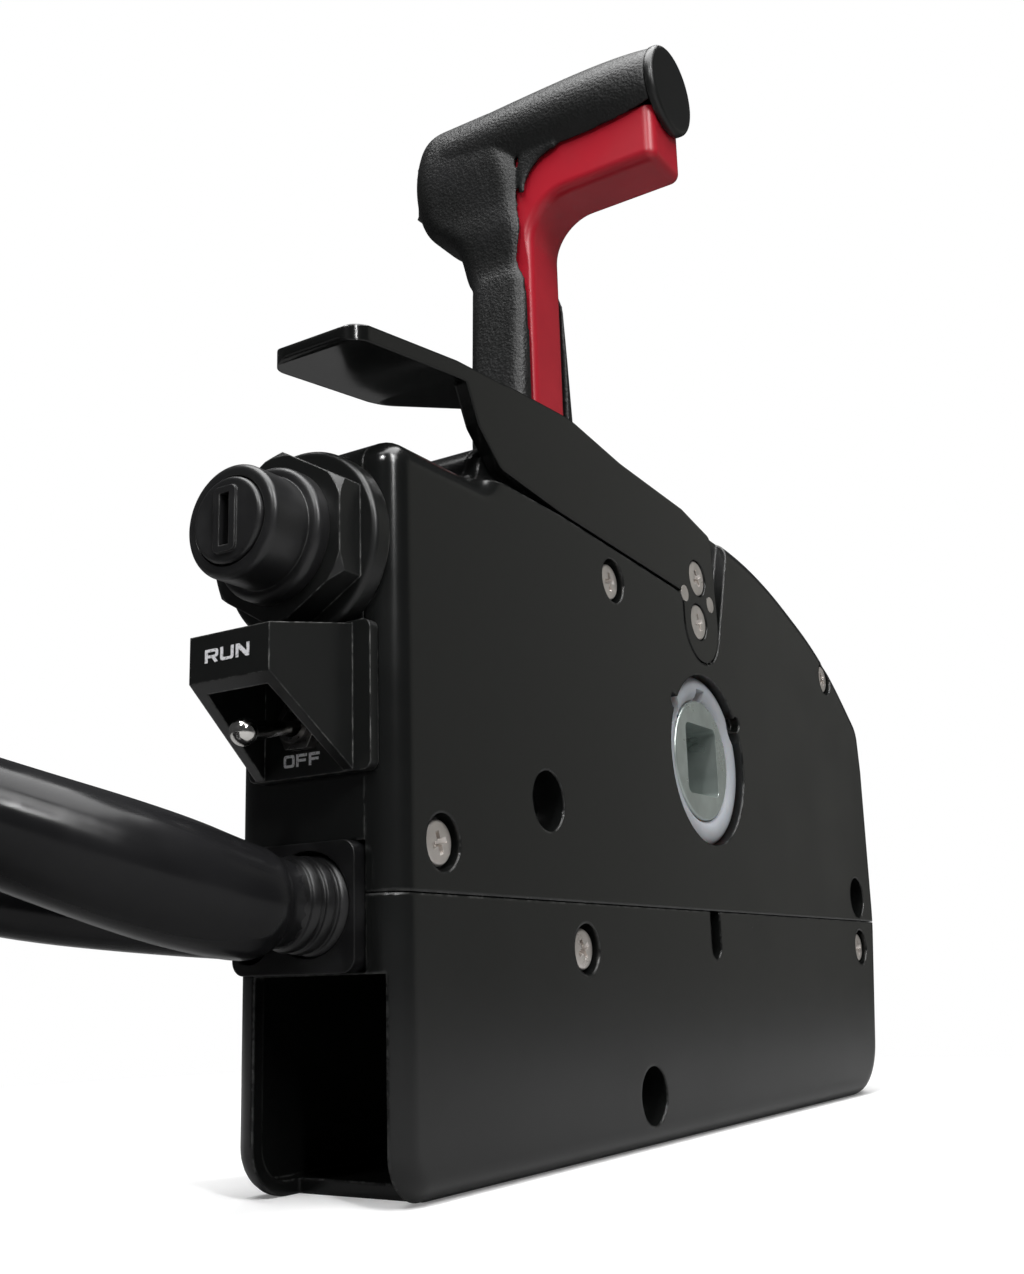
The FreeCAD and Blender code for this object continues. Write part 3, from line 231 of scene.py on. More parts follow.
def glossPaint(name, look, rough):
    p = Paint(name)
    cloud = p.noise(60, 3, 0.5)
    peel = p.bump(p.noise(330, 2, 0.5), look["peel"], mm(0.06), p.edges(0.7)[0])
    fleck = p.band(p.noise(1400, 1, 0.5), 0.70, 0.76)
    colour = p.blend(fleck * look["fleckShare"], look["colour"], look["fleck"])
    return p.finish({"Base Color": colour, "Roughness": p.band(cloud, 0.3, 0.7, rough - 0.03, rough + 0.05),
                     "IOR": 1.5, "Normal": peel})


nylonLook = {"colour": (0.42, 0.42, 0.45), "darker": 0.86, "rough": (0.34, 0.46)}


def nylon(name, look):
    p = Paint(name)
    cloud = p.noise(120, 3, 0.5)
    dark = tuple(c * look["darker"] for c in look["colour"])
    shade = p.blend(p.band(cloud, 0.3, 0.7), look["colour"], dark)
    return p.finish({"Base Color": shade, "Roughness": p.band(cloud, 0.3, 0.7, *look["rough"]),
                     "Subsurface Weight": 0.15,
                     "Normal": p.bump(p.noise(800, 2, 0.5), 0.08, mm(0.06), p.edges(0.5)[0])})


def machined(name, colour, rough=0.28, metallic=1.0, stretch=(40, 900, 900)):
    p = Paint(name)
    streak = p.noise(1.0, 3, 0.6, p.stretched(stretch))
    cloud = p.noise(140, 3, 0.5)
    shade = p.blend(p.band(cloud, 0.35, 0.7), colour, tuple(c * 0.78 for c in colour))
    return p.finish({"Base Color": shade, "Metallic": metallic,
                     "Roughness": p.band(streak, 0.3, 0.7, rough - 0.07, rough + 0.10),
                     "Normal": p.bump(streak, 0.12, mm(0.05), p.edges(0.2)[0])})


rubberLook = {"colour": (0.0125, 0.0125, 0.013), "bloom": (0.04, 0.04, 0.041), "edgeWornAndLit": (0.13, 0.13, 0.125)}


def rubber(name, look, rough, edgeWearAndHighlight=0.5):
    p = Paint(name)
    soft, sharp = p.edges(0.45)
    cloud = p.noise(85, 4, 0.6)
    bloom = p.band(cloud, 0.5, 0.8) * 0.35
    # lighter colour on sharp edges: edge wear plus a painted highlight along the edges
    lighterMask = sharp * p.band(p.noise(260, 3, 0.6), 0.40, 0.62) * edgeWearAndHighlight
    shade = p.blend(lighterMask, p.blend(bloom, look["colour"], look["bloom"]), look["edgeWornAndLit"])
    return p.finish({"Base Color": shade, "Roughness": p.band(cloud, 0.3, 0.7, rough - 0.05, rough + 0.09),
                     "Normal": p.bump(p.noise(700, 3, 0.6), 0.12, mm(0.08), soft)})


vinylLook = {"dark": (0.0075, 0.0075, 0.008), "pale": (0.016, 0.016, 0.017), "rough": (0.14, 0.26),
             "swell": 1.4, "crease": 0.4}


def sleeveVinyl(name, look):
    p = Paint(name)
    soft = p.noise(34, 3, 0.5)
    crease = p.noise(120, 2, 0.5)
    low = p.bump(soft, 0.30, mm(look["swell"]))
    both = p.bump(crease, 0.10, mm(look["crease"]), low)
    colour = p.blend(p.band(soft, 0.3, 0.8), look["dark"], look["pale"])
    return p.finish({"Base Color": colour, "Roughness": p.band(crease, 0.3, 0.7, *look["rough"]), "IOR": 1.29,
                     "Normal": both})


inkLook = {"worn": (0.35, 0.35, 0.36), "fresh": (0.72, 0.72, 0.74), "rough": 0.5}


def printedInk(name, look):
    p = Paint(name)
    worn = p.band(p.noise(1300, 2, 0.6), 0.36, 0.46)
    return p.finish({"Base Color": p.blend(worn, look["worn"], look["fresh"]), "Roughness": look["rough"]})


caseBlack = mouldedPlastic("caseBlack", plasticLook)
coverBlack = mouldedPlastic("coverBlack", {**plasticLook, "rough": 0.20}, peel=0.035, dustAmount=0.16)
# strongest lighter edges here: edge wear plus a painted highlight along the guard's edges
frontBlack = mouldedPlastic("frontBlack", {**plasticLook, "rough": 0.36}, peel=0.10, dustAmount=0.2, edgeWearAndHighlight=1.0,
                            edge=0.5)
capBlack = mouldedPlastic("capBlack", {**plasticLook, "rough": 0.34}, dustAmount=0.1)
gripBlack = grainedPlastic(gripLook)
triggerRed = redPlastic(redLook)
armPaint = glossPaint("armPaint", paintLook, rough=0.2)
leverPaint = glossPaint("leverPaint", paintLook, rough=0.12)
nylonWhite = nylon("nylonWhite", nylonLook)
shaftGrey = machined("shaftGrey", (0.52, 0.58, 0.555), rough=0.3, metallic=0.75, stretch=(90, 30, 90))
gearSteel = machined("gearSteel", (0.42, 0.42, 0.41))
screwSteel = machined("screwSteel", (0.78, 0.73, 0.69), rough=0.32, metallic=0.8, stretch=(160, 160, 160))
chrome = machined("toggleChrome", (0.82, 0.80, 0.77), rough=0.12)
darkNickel = machined("darkNickel", (0.16, 0.155, 0.15), rough=0.3)
rubberBlack = rubber("rubberBlack", rubberLook, rough=0.33)
plugBlack = rubber("plugBlack", rubberLook, rough=0.5)
grommetBlack = rubber("grommetBlack", {**rubberLook, "colour": (0.0035, 0.0035, 0.0038)}, rough=0.34,
                      edgeWearAndHighlight=0.1)
vinylBlack = sleeveVinyl("vinylBlack", vinylLook)
printWhite = printedInk("printWhite", inkLook)
print("finishes ready")

# which CAD pieces wear which finish
dressed = [
    (caseBlack, ["main_housing"]),
    (coverBlack, ["upper_cover", "lower_cover"]),
    (frontBlack, ["cable_anchor", "key_body", "key_nut", "switch_guard", "trim_bezel", "trim_rocker"]),
    (capBlack, ["end_cap"]),
    (gripBlack, ["grip_shell"]),
    (triggerRed, ["lock_trigger"]),
    (armPaint, ["handle_arm"]),
    (leverPaint, ["idle_lever"]),
    (nylonWhite, ["near_bushing", "far_bushing"]),
    (shaftGrey, ["main_shaft"]),
    (gearSteel, ["lock_ring", "shift_stud", "detent_leaf", "cable_retainer", "drive_gear", "throttle_lever",
                 "detent_wheel", "lock_pin", "trigger_spring", "shift_sector", "idle_crank"]),
    (screwSteel, ["cover_screws", "handle_bolt", "lever_screws", "lever_pins"]),
    (chrome, ["toggle_lever"]),
    (darkNickel, ["toggle_body", "toggle_nut"]),
    (rubberBlack, ["key_collar", "key_rotor"]),
    (grommetBlack, ["harness_grommet"]),
    (plugBlack, ["harness_plug", "lead_plug"]),
    (vinylBlack, ["harness", "harness_hank", "harness_tail", "gauge_lead"])]


def dress(node, material):
    mesh = nodes[node].data
    if len(mesh.materials) == 0:
        mesh.materials.append(material)
    for i in range(len(mesh.materials)):
        mesh.materials[i] = material


for material, pieces in dressed:
    for piece in pieces:
        dress(piece, material)

# harness: one smooth line from the grommet, through the tied hank, to the plug
harness = {"diameter": 19.8, "length": 3.68,
           "route": [(8.0, 17.2, 55.0), (-11.5, 20.9, 56.2), (-14.6, 21.6, 56.2), (-20.0, 22.9, 56.3),
                     (-36.0, 27.6, 60.8), (-62.0, 43.4, 70.6), (-91.8, 61.9, 81.6), (-148.0, 104.0, 78.0),
                     (-205.0, 152.0, 74.0), (-247.0, 166.5, 58.0)],
           "tail": [(-230.0, 30.0, 10.6), (-194.0, 52.0, 15.6), (-170.0, 63.0, 15.6)],
           "girth": [0.8, 0.8, 1.06, 1.12, 1.21, 1.06, 1.0, 1.0, 1.0, 0.92]}
hank = {"centre": (-209.5, 86.0), "straight": 85.0, "bendPoints": 6,
        "turns": [(80, 51.2), (60, 51.2), (60, 31.0), (80, 31.0), (80, 10.6), (60, 10.6)]}


def bendOfHank(side, radius, height):
    # one half circle of the hank, side -1 away from the case and +1 beside it
    made = []
    step = math.pi / hank["bendPoints"]
    for i in range(hank["bendPoints"]):
        a = math.pi / 2 * -side + step * (i + 0.5)
        reach = radius / math.cos(step / 2)
        x = hank["centre"][0] + side * hank["straight"] / 2 + reach * math.cos(a)
        made.append((x, hank["centre"][1] + reach * math.sin(a), height))
    return made


def hankPoints():
    made = []
    turns = hank["turns"]
    for i, (radius, height) in enumerate(turns):
        made += bendOfHank(-1, radius, height)
        if i == len(turns) - 1:
            break
        made.append((hank["centre"][0], hank["centre"][1] - radius, height))
        made += bendOfHank(1, radius, height)
        nextRadius, nextHeight = turns[i + 1]
        between = hank["centre"][1] + (radius + nextRadius) / 2
        made.append((hank["centre"][0], between, (height + nextHeight) / 2))
    return made


def cordCurve(name, points, diameter, material, girth=()):
    data = bpy.data.curves.new(name, "CURVE")
    data.dimensions = "3D"
    data.bevel_depth = mm(diameter / 2)
    data.bevel_resolution = 8
    data.resolution_u = 10
    data.use_fill_caps = True
    line = data.splines.new("NURBS")
    line.points.add(len(points) - 1)
    for point, place in zip(line.points, points):
        point.co = (*spot(*place), 1)
    for point, share in zip(line.points, girth):
        point.radius = share
    line.order_u = 3
    line.use_endpoint_u = True
    obj = bpy.data.objects.new(name, data)
    bpy.context.scene.collection.objects.link(obj)
    data.materials.append(material)
    return obj


harnessRoute = harness["route"] + hankPoints() + harness["tail"]
harnessCord = cordCurve("harnessSleeve", harnessRoute, harness["diameter"], vinylBlack, harness["girth"])
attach(harnessCord, "case")
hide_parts("harness", "harness_hank", "harness_tail")
spot(*harness["route"][0])
mm(harness["diameter"])

gaugeLead = {"diameter": 10.4, "length": 0.22,
             "route": [(8.0, 33.1, 50.6), (-20.0, 37.1, 51.6), (-54.0, 59.0, 56.6), (-86.0, 84.0, 71.0),
                       (-98.0, 122.0, 68.2), (-126.0, 150.0, 69.4), (-162.0, 160.0, 69.4)]}
leadCord = cordCurve("gaugeLeadSleeve", gaugeLead["route"], gaugeLead["diameter"], vinylBlack)
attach(leadCord, "case")
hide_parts("gauge_lead")
spot(*gaugeLead["route"][0])
mm(gaugeLead["diameter"])
print("cords laid")


# mesh helpers
def smoothShade(mesh, angle=38):
    for face in mesh.polygons:
        face.use_smooth = True
    mesh.set_sharp_from_angle(angle=math.radians(angle))


def meshObject(name, bm, material, body, smooth=True):
    mesh = bpy.data.meshes.new(name)
    bmesh.ops.recalc_face_normals(bm, faces=bm.faces)
    bm.to_mesh(mesh)
    bm.free()
    obj = bpy.data.objects.new(name, mesh)
    bpy.context.scene.collection.objects.link(obj)
    mesh.materials.append(material)
    if smooth:
        smoothShade(mesh)
    if body:
        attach(obj, body)
    return obj


def turned(bm, profile, segments=40):
    # profile: (radius, height) pairs, turned round the local z axis
    rings = []
    for radius, height in profile:
        if radius < 1e-7:
            rings.append([bm.verts.new((0, 0, height))])
        else:
            angles = [2 * math.pi * k / segments for k in range(segments)]
            rings.append([bm.verts.new((radius * math.cos(a), radius * math.sin(a), height)) for a in angles])
    for low, high in zip(rings, rings[1:]):
        for k in range(segments):
            after = (k + 1) % segments
            corners = [low[k % len(low)], low[after % len(low)], high[after % len(high)], high[k % len(high)]]
            unique = []
            for corner in corners:
                if corner not in unique:
                    unique.append(corner)
            if len(unique) > 2:
                bm.faces.new(unique)


def cutAway(obj, cutter):
    step = obj.modifiers.new("cut", "BOOLEAN")
    step.object = cutter
    step.operation = "DIFFERENCE"
    step.solver = "EXACT"
    bpy.context.view_layer.update()
    graph = bpy.context.evaluated_depsgraph_get()
    fresh = bpy.data.meshes.new_from_object(obj.evaluated_get(graph))
    obj.modifiers.clear()
    obj.data = fresh


# ribbed rubber gland where the harness leaves the case
gland = {"from": (0.0, 18.9, 55.6), "to": (-11.5, 20.9, 56.2),
         "profile": [(8.0, -9.0), (9.9, -9.0), (9.9, 2.0), (9.5, 2.7), (9.0, 2.9), (9.0, 3.7), (9.4, 4.0),
                     (9.5, 5.0), (9.3, 5.8), (8.8, 6.0), (8.8, 6.8), (9.2, 7.1), (9.3, 8.1), (9.0, 8.9),
                     (8.5, 9.2), (8.4, 11.0), (7.6, 11.6)]}


def harnessGland(g):
    bm = bmesh.new()
    turned(bm, [(mm(radius), mm(along)) for radius, along in g["profile"]], 56)
    ahead = spot(*g["to"]) - spot(*g["from"])
    turn = ahead.to_track_quat("Z", "Y").to_matrix().to_4x4()
    bm.transform(Matrix.Translation(spot(*g["from"])) @ turn)
    meshObject("harnessGland", bm, grommetBlack, "case")


harnessGland(gland)

# the soft moulded grip: the hard steps of the shell are rounded over
softGrip = {"voxel": 0.55, "passes": 18, "factor": 0.5, "share": 0.3, "bandLow": 262, "bandHigh": 288,
            "bandPasses": 70, "pocket": (147.2, 22.0, 288.0), "pocketRadius": 6.5}


def smoothOver(obj, name, factor, passes):
    step = obj.modifiers.new(name, "SMOOTH")
    step.factor = factor
    step.iterations = passes
    step.vertex_group = name


def settle(obj):
    # modifiers applied to the mesh
    bpy.context.view_layer.update()
    fresh = bpy.data.meshes.new_from_object(obj.evaluated_get(bpy.context.evaluated_depsgraph_get()))
    obj.modifiers.clear()
    obj.data = fresh
    return fresh


def pointsWhere(obj, name, test):
    group = obj.vertex_groups.new(name=name)
    group.add([v.index for v in obj.data.vertices if test(obj.matrix_world @ v.co)], 1.0, "REPLACE")


def softened(node, name, s, material, body):
    source = nodes[node]
    obj = bpy.data.objects.new(name, source.data.copy())
    bpy.context.scene.collection.objects.link(obj)
    obj.matrix_world = source.matrix_world.copy()
    remesh = obj.modifiers.new("even", "REMESH")
    remesh.mode = "VOXEL"
    remesh.voxel_size = mm(s["voxel"])
    settle(obj)
    # the spring's pocket keeps its size, and the step between stem and head is blended further
    pocket = spot(*s["pocket"])

    def outsidePocket(point):
        away = math.hypot(point.x - pocket.x, point.y - pocket.y)
        return away > mm(s["pocketRadius"]) or point.z < pocket.z

    def inBand(point):
        return mm(s["bandLow"]) < point.z < mm(s["bandHigh"])

    pointsWhere(obj, "soft", outsidePocket)
    pointsWhere(obj, "band", lambda point: inBand(point) and outsidePocket(point))
    smoothOver(obj, "soft", s["factor"], s["passes"])
    smoothOver(obj, "band", s["factor"], s["bandPasses"])
    light = obj.modifiers.new("light", "DECIMATE")
    light.ratio = s["share"]
    fresh = settle(obj)
    fresh.materials.clear()
    fresh.materials.append(material)
    for face in fresh.polygons:
        face.use_smooth = True
    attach(obj, body)
    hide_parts(node)


softened("grip_shell", "gripSoft", softGrip, gripBlack, "handle")

# trigger spring, a copy of the CAD coil carried whole by the handle, so it stays with the grip while the
# trigger rises
coil = {"seat": (147.2, 22.0, 325.0), "keep": 0.796}
springCoil = bpy.data.objects.new("springCoil", nodes["trigger_spring"].data.copy())
bpy.context.scene.collection.objects.link(springCoil)
springCoil.matrix_world = nodes["trigger_spring"].matrix_world.copy()
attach(springCoil, "handle")
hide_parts("trigger_spring")
spot(*coil["seat"])
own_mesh(springCoil)
print("gland, grip and spring made")

# ties that hold the hank, one on each long side
tie = {"wide": 4.8, "thick": 0.6, "corner": 5.0, "low": 0.05, "high": 61.8, "inner": 49.2, "outer": 90.1,
       "head": (6.76, 4.2, 7.5), "headDrop": 14, "headRound": 0.7}


def roundedLoop(halfWide, halfHigh, corner, steps=6):
    made = []
    for sx, sz, start in ((1, 1, 0), (-1, 1, 90), (-1, -1, 180), (1, -1, 270)):
        for i in range(steps + 1):
            a = math.radians(start + 90 * i / steps)
            made.append((sx * (halfWide - corner) + corner * math.cos(a),
                         sz * (halfHigh - corner) + corner * math.sin(a)))
    return made


def hankTie(name, side):
    bm = bmesh.new()
    halfWide = (tie["outer"] - tie["inner"]) / 2
    halfHigh = (tie["high"] - tie["low"]) / 2
    middle = (tie["outer"] + tie["inner"]) / 2 * side
    rows = []
    for inset, shift in ((0, -1), (0, 1), (tie["thick"], 1), (tie["thick"], -1)):
        loop = roundedLoop(halfWide - inset, halfHigh - inset, tie["corner"] - inset)
        across = hank["centre"][0] + shift * tie["wide"] / 2
        rows.append([bm.verts.new(spot(across, hank["centre"][1] + middle + y, tie["low"] + halfHigh + z))
                     for y, z in loop])
    for first, second in zip(rows, rows[1:] + rows[:1]):
        for k in range(len(first)):
            after = (k + 1) % len(first)
            bm.faces.new([first[k], first[after], second[after], second[k]])
    meshObject(name, bm, rubberBlack, "case")
    long, deep, high = tie["head"]
    block = bmesh.new()
    bmesh.ops.create_cube(block, size=1)
    for vert in block.verts:
        vert.co = spot(hank["centre"][0] + vert.co.x * long,
                       hank["centre"][1] + (tie["inner"] - deep / 2) * side + vert.co.y * deep,
                       tie["high"] - tie["headDrop"] + vert.co.z * high)
    bmesh.ops.bevel(block, geom=block.edges[:], offset=mm(tie["headRound"]), segments=3, affect="EDGES",
                    profile=0.5)
    meshObject(name + "Head", block, rubberBlack, "case")


for side, name in ((-1, "nearTie"), (1, "farTie")):
    hankTie(name, side)
print("hank tied")

# cross-recessed screws, heads towards the panel
recess = {"reach": 2.9, "arm": 1.25, "deep": 1.9, "taper": 0.35}
dome = {"skirt": 0.66, "roll": 0.14, "rise": 0.28, "steps": 5,
        "crown": [(0.6, 0.985), (0.3, 1.0), (0.0, 1.0)]}
coverScrew = {"headRadius": 4.7, "headHeight": 2.6, "seat": 3.6, "shank": 2.1, "length": 22.0,
              "spots": [(15.6, 67.9, 20), (93.6, 140.7, 8), (250.5, 141.6, 41), (72.3, 47.2, 30),
                        (265.2, 48.7, 12)]}
leverScrew = {"headRadius": 5.2, "headHeight": 1.9, "seat": 2.0, "shank": 2.1, "length": 7.6,
              "spots": [(146.5, 153.9, 33), (146.0, 140.6, 20)]}


def crossSlot(obj, high, turn):
    # one tapered arm of the recess, sunk from above the head
    cutter = bmesh.new()
    outer, inner = mm(recess["reach"]), mm(recess["reach"]) * recess["taper"]
    top, deep = high * 1.2, high - mm(recess["deep"])
    arm = mm(recess["arm"]) / 2
    shape = [(-outer, top), (outer, top), (inner, deep), (-inner, deep)]
    c, s = math.cos(turn), math.sin(turn)
    front = [cutter.verts.new((x * c + arm * s, x * s - arm * c, z)) for x, z in shape]
    back = [cutter.verts.new((x * c - arm * s, x * s + arm * c, z)) for x, z in shape]
    cutter.faces.new(front)
    cutter.faces.new(list(reversed(back)))
    for k in range(4):
        after = (k + 1) % 4
        cutter.faces.new([front[after], front[k], back[k], back[after]])
    knife = meshObject("knife", cutter, screwSteel, None, False)
    cutAway(obj, knife)
    bpy.data.objects.remove(knife)


def crossScrew(name, screw):
    # local z points out of the head, seat plane at z = 0
    bm = bmesh.new()
    r, h = mm(screw["headRadius"]), mm(screw["headHeight"])
    shank, length = mm(screw["shank"]), mm(screw["length"] - screw["seat"])
    profile = [(0, -length), (shank, -length), (shank, 0), (r, 0), (r, h * dome["skirt"])]
    for k in range(1, dome["steps"] + 1):
        a = math.radians(90 * k / dome["steps"])
        profile.append((r - r * dome["roll"] * (1 - math.cos(a)),
                        h * dome["skirt"] + h * dome["rise"] * math.sin(a)))
    profile += [(r * across, h * up) for across, up in dome["crown"]]
    turned(bm, profile, 48)
    obj = meshObject(name, bm, screwSteel, None)
    for turn in (0, math.pi / 2):
        crossSlot(obj, h, turn)
    smoothShade(obj.data, 32)
    return obj


def setScrews(name, screw, body, node):
    made = []
    for i, (x, z, turn) in enumerate(screw["spots"]):
        obj = crossScrew(name + str(i + 1), screw)
        stand = Matrix.Rotation(math.radians(90), 4, "X") @ Matrix.Rotation(math.radians(turn), 4, "Z")
        obj.data.transform(Matrix.Translation(spot(x, screw["seat"], z)) @ stand)
        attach(obj, body)
        made.append(obj)
    for obj in made:
        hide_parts(node)


setScrews("coverScrew", coverScrew, "case", "cover_screws")
setScrews("leverScrew", leverScrew, "idle", "lever_screws")
print("screws set")


# white bearing ring with a rounded lip, bitten by the two small holes beside it
bearing = {"outer": 24.3, "inner": 17.26, "front": 1.6, "back": 7.6, "round": 2.3, "lipSteps": 12,
           "bites": [(146, 23.6, 4.9), (29, 26.0, 5.4)], "centre": (147.2, 100.4),
           "notch": (5.2, 3.6, 5.0), "notchOverlap": 0.5, "notchSink": 1.2}


def bite(bm, angle, reach, radius):
    a = math.radians(angle)
    centre = Vector((mm(reach * math.cos(a)), mm(reach * math.sin(a)), 0))
    inward = -centre.normalized()
    for vert in bm.verts:
        away = Vector((vert.co.x, vert.co.y, 0)) - centre
        if away.length < mm(radius):
            # pushed straight towards the middle until it meets the rim of the bite
            side = away - inward * away.dot(inward)
            chord = math.sqrt(max(0, mm(radius) ** 2 - side.length ** 2))
            target = centre + side + inward * chord
            vert.co.x, vert.co.y = target.x, target.y


def bearingRing(b):
    bm = bmesh.new()
    middle, half = (b["outer"] + b["inner"]) / 2, (b["outer"] - b["inner"]) / 2
    depth = b["back"] - b["front"]
    profile = [(b["inner"], -depth), (b["outer"], -depth)]
    for k in range(b["lipSteps"] + 1):
        a = math.pi * k / b["lipSteps"]
        profile.append((middle + half * math.cos(a), b["round"] * (math.sin(a) - 1)))
    profile.append((b["inner"], -depth))
    turned(bm, [(mm(radius), mm(along)) for radius, along in profile], 180)
    bmesh.ops.remove_doubles(bm, verts=bm.verts, dist=1e-7)
    for angle, reach, radius in b["bites"]:
        bite(bm, angle, reach, radius)
    ring = meshObject("bearingRing", bm, nylonWhite, None)
    wide, tall, deep = b["notch"]
    slot = bmesh.new()
    bmesh.ops.create_cube(slot, size=1)
    for vert in slot.verts:
        vert.co = Vector((vert.co.x * mm(wide),
                          vert.co.y * mm(tall) + mm(b["inner"] + tall / 2 - b["notchOverlap"]),
                          vert.co.z * mm(deep) - mm(b["notchSink"])))
    knife = meshObject("knife", slot, nylonWhite, None, False)
    cutAway(ring, knife)
    bpy.data.objects.remove(knife)
    smoothShade(ring.data)
    # local z towards the panel front, local x along the case
    stand = Matrix(((1, 0, 0), (0, 0, -1), (0, 1, 0))).to_4x4()
    ring.data.transform(Matrix.Translation(spot(b["centre"][0], b["front"], b["centre"][1])) @ stand)
    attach(ring, "case")
    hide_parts("near_bushing")


bearingRing(bearing)
print("bearing ring made")

# printed words on the stop switch guard, in wide heavy letters drawn in a unit square
words = {"run": ("RUN", -24.53, 21.15, 102.6, 11.5, 2.65), "off": ("OFF", -2.53, 21.6, 84.7, 9.5, 2.55),
         "gap": 0.13, "ink": 0.01}
letterShapes = {
    "R": [[(0, 0), (.22, 0), (.22, .34), (.52, .34), (.74, 0), (1, 0), (.77, .36), (.93, .40), (1, .52),
           (1, .84), (.93, .96), (.84, 1), (0, 1)],
          [(.22, .55), (.22, .78), (.74, .78), (.79, .74), (.79, .60), (.74, .55)]],
    "U": [[(0, 1), (0, .22), (.05, .06), (.17, 0), (.83, 0), (.95, .06), (1, .22), (1, 1), (.78, 1),
           (.78, .28), (.72, .22), (.28, .22), (.22, .28), (.22, 1)]],
    "N": [[(0, 0), (.21, 0), (.21, .62), (.74, 0), (1, 0), (1, 1), (.79, 1), (.79, .38), (.26, 1), (0, 1)]],
    "O": [[(0, .22), (.05, .06), (.17, 0), (.83, 0), (.95, .06), (1, .22), (1, .78), (.95, .94), (.83, 1),
           (.17, 1), (.05, .94), (0, .78)],
          [(.22, .28), (.22, .72), (.28, .78), (.72, .78), (.78, .72), (.78, .28), (.72, .22), (.28, .22)]],
    "F": [[(0, 0), (.22, 0), (.22, .38), (.88, .38), (.88, .60), (.22, .60), (.22, .77), (.98, .77),
           (.98, 1), (0, 1)]]}


def printedWord(name, text, x, y, z, wide, high):
    data = bpy.data.curves.new(name, "CURVE")
    data.dimensions = "2D"
    data.fill_mode = "BOTH"
    data.extrude = mm(words["ink"])
    step = wide / (len(text) - words["gap"])
    for i, letter in enumerate(text):
        for outline in letterShapes[letter]:
            line = data.splines.new("POLY")
            line.points.add(len(outline) - 1)
            line.use_cyclic_u = True
            for point, (across, up) in zip(line.points, outline):
                along = -wide / 2 + step * (i + across * (1 - words["gap"]))
                point.co = (mm(along), mm(high * (up - 0.5)), 0, 1)
    obj = bpy.data.objects.new(name, data)
    bpy.context.scene.collection.objects.link(obj)
    data.materials.append(printWhite)
    # letters run towards -Y and stand up along Z, facing the front
    turn = Matrix(((0, 0, -1), (-1, 0, 0), (0, 1, 0))).to_4x4()
    obj.matrix_world = Matrix.Translation(spot(x, y, z)) @ turn
    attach(obj, "case")


for key in ("run", "off"):
    printedWord(key + "Word", *words[key])
print("words printed")

# floor, light and background
studio = {"floor": 0.93, "unseenFloor": 0.3, "glow": 0.16, "surroundings": 0.05,
          "fadeFrom": 0.16, "fadeTo": 0.34}


def studioFloor(s):
    bm = bmesh.new()
    bmesh.ops.create_grid(bm, x_segments=1, y_segments=1, size=6)
    mesh = bpy.data.meshes.new("studioFloor")
    bm.to_mesh(mesh)
    bm.free()
    floor = bpy.data.objects.new("studioFloor", mesh)
    bpy.context.scene.collection.objects.link(floor)
    p = Paint("floorWhite")
    rays = p.node("ShaderNodeLightPath")
    grain = p.band(p.noise(3), 0, 1, s["floor"] * 0.985, s["floor"])
    seen = p.node("ShaderNodeBsdfDiffuse", None, {"Color": grain})
    glow = p.node("ShaderNodeEmission", None, {"Color": (1, 1, 1), "Strength": s["glow"]})
    both = p.node("ShaderNodeAddShader")
    p.tree.links.new(seen.outputs[0], both.inputs[0])
    p.tree.links.new(glow.outputs[0], both.inputs[1])
    unseen = p.node("ShaderNodeBsdfDiffuse", None, {"Color": (s["unseenFloor"],) * 3})
    far = p.out(p.node("ShaderNodeVectorMath", {"operation": "LENGTH"}, {0: p.place()}), "Value")
    white = p.node("ShaderNodeEmission", None, {"Color": (1, 1, 1), "Strength": 1.0})
    fade = p.node("ShaderNodeMixShader", None, {0: p.band(far, s["fadeFrom"], s["fadeTo"])})
    p.tree.links.new(both.outputs[0], fade.inputs[1])
    p.tree.links.new(white.outputs[0], fade.inputs[2])
    mix = p.node("ShaderNodeMixShader", None, {0: p.out(rays, "Is Camera Ray")})
    p.tree.links.new(unseen.outputs[0], mix.inputs[1])
    p.tree.links.new(fade.outputs[0], mix.inputs[2])
    end = p.node("ShaderNodeOutputMaterial")
    p.tree.links.new(mix.outputs[0], end.inputs[0])
    mesh.materials.append(p.material)


studioFloor(studio)


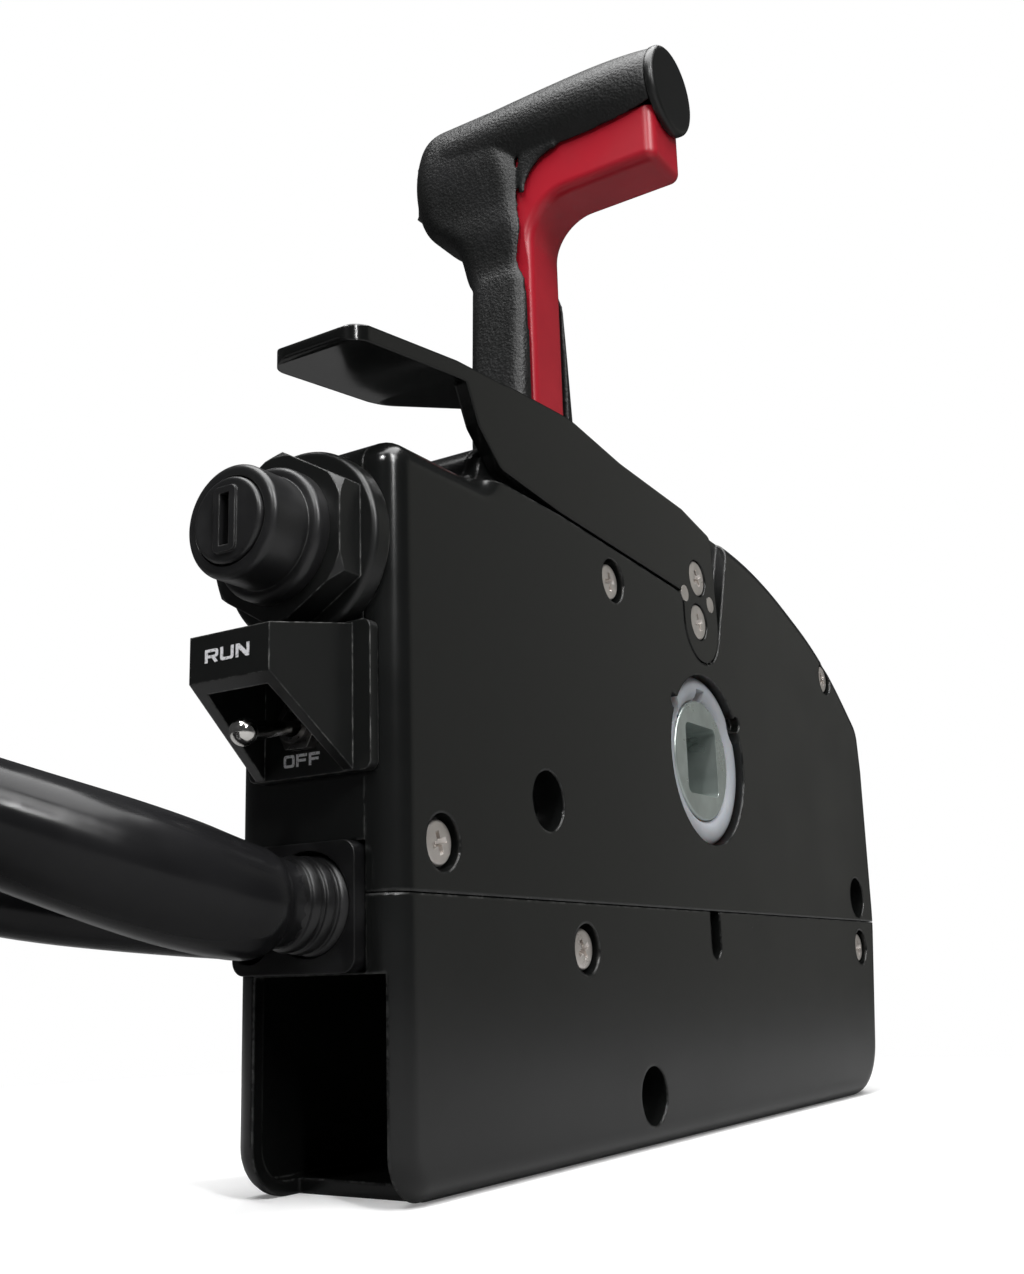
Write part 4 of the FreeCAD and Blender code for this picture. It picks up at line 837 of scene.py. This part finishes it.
def studioWorld(s):
    world = bpy.data.worlds.new("studioWorld")
    bpy.context.scene.world = world
    world.use_nodes = True
    tree = world.node_tree
    tree.nodes.clear()
    rays = tree.nodes.new("ShaderNodeLightPath")
    dim = tree.nodes.new("ShaderNodeBackground")
    dim.inputs[0].default_value = (0.97, 0.98, 1, 1)
    dim.inputs[1].default_value = s["surroundings"]
    full = tree.nodes.new("ShaderNodeBackground")
    full.inputs[0].default_value = (1, 1, 1, 1)
    mix = tree.nodes.new("ShaderNodeMixShader")
    tree.links.new(rays.outputs["Is Camera Ray"], mix.inputs[0])
    tree.links.new(dim.outputs[0], mix.inputs[1])
    tree.links.new(full.outputs[0], mix.inputs[2])
    end = tree.nodes.new("ShaderNodeOutputWorld")
    tree.links.new(mix.outputs[0], end.inputs[0])


studioWorld(studio)

lamps = {
    "topSoft": {"place": (-40, -60, 1150), "aim": (20, 0, 0), "size": (1000, 1000), "power": 21.0},
    "sideCard": {"place": (900, -560, 330), "aim": (150, 0, 110), "size": (800, 900), "power": 0.42,
                 "tint": (1, 1, 0.92)},
    "frontStrip": {"place": (-330, -640, 700), "aim": (0, 0, 180), "size": (34, 520), "power": 4.0},
    "frontFill": {"place": (-300, -760, 900), "aim": (90, 0, 200), "size": (300, 300), "power": 2.6},
    "frontSpark": {"place": (-560, -160, 640), "aim": (40, 10, 110), "size": (60, 40), "power": 2.0}}


def softLamp(name, lamp):
    data = bpy.data.lights.new(name, "AREA")
    data.shape = "RECTANGLE"
    data.size, data.size_y = mm(lamp["size"][0]), mm(lamp["size"][1])
    data.energy = lamp["power"]
    data.color = lamp.get("tint", (1, 1, 1))
    obj = bpy.data.objects.new(name, data)
    bpy.context.scene.collection.objects.link(obj)
    place = spot(*lamp["place"])
    aim = spot(*lamp["aim"]) - place
    obj.matrix_world = Matrix.Translation(place) @ aim.to_track_quat("-Z", "Y").to_matrix().to_4x4()


for name, lamp in lamps.items():
    softLamp(name, lamp)
bpy.context.scene.view_settings.view_transform = "Standard"
print("studio ready")
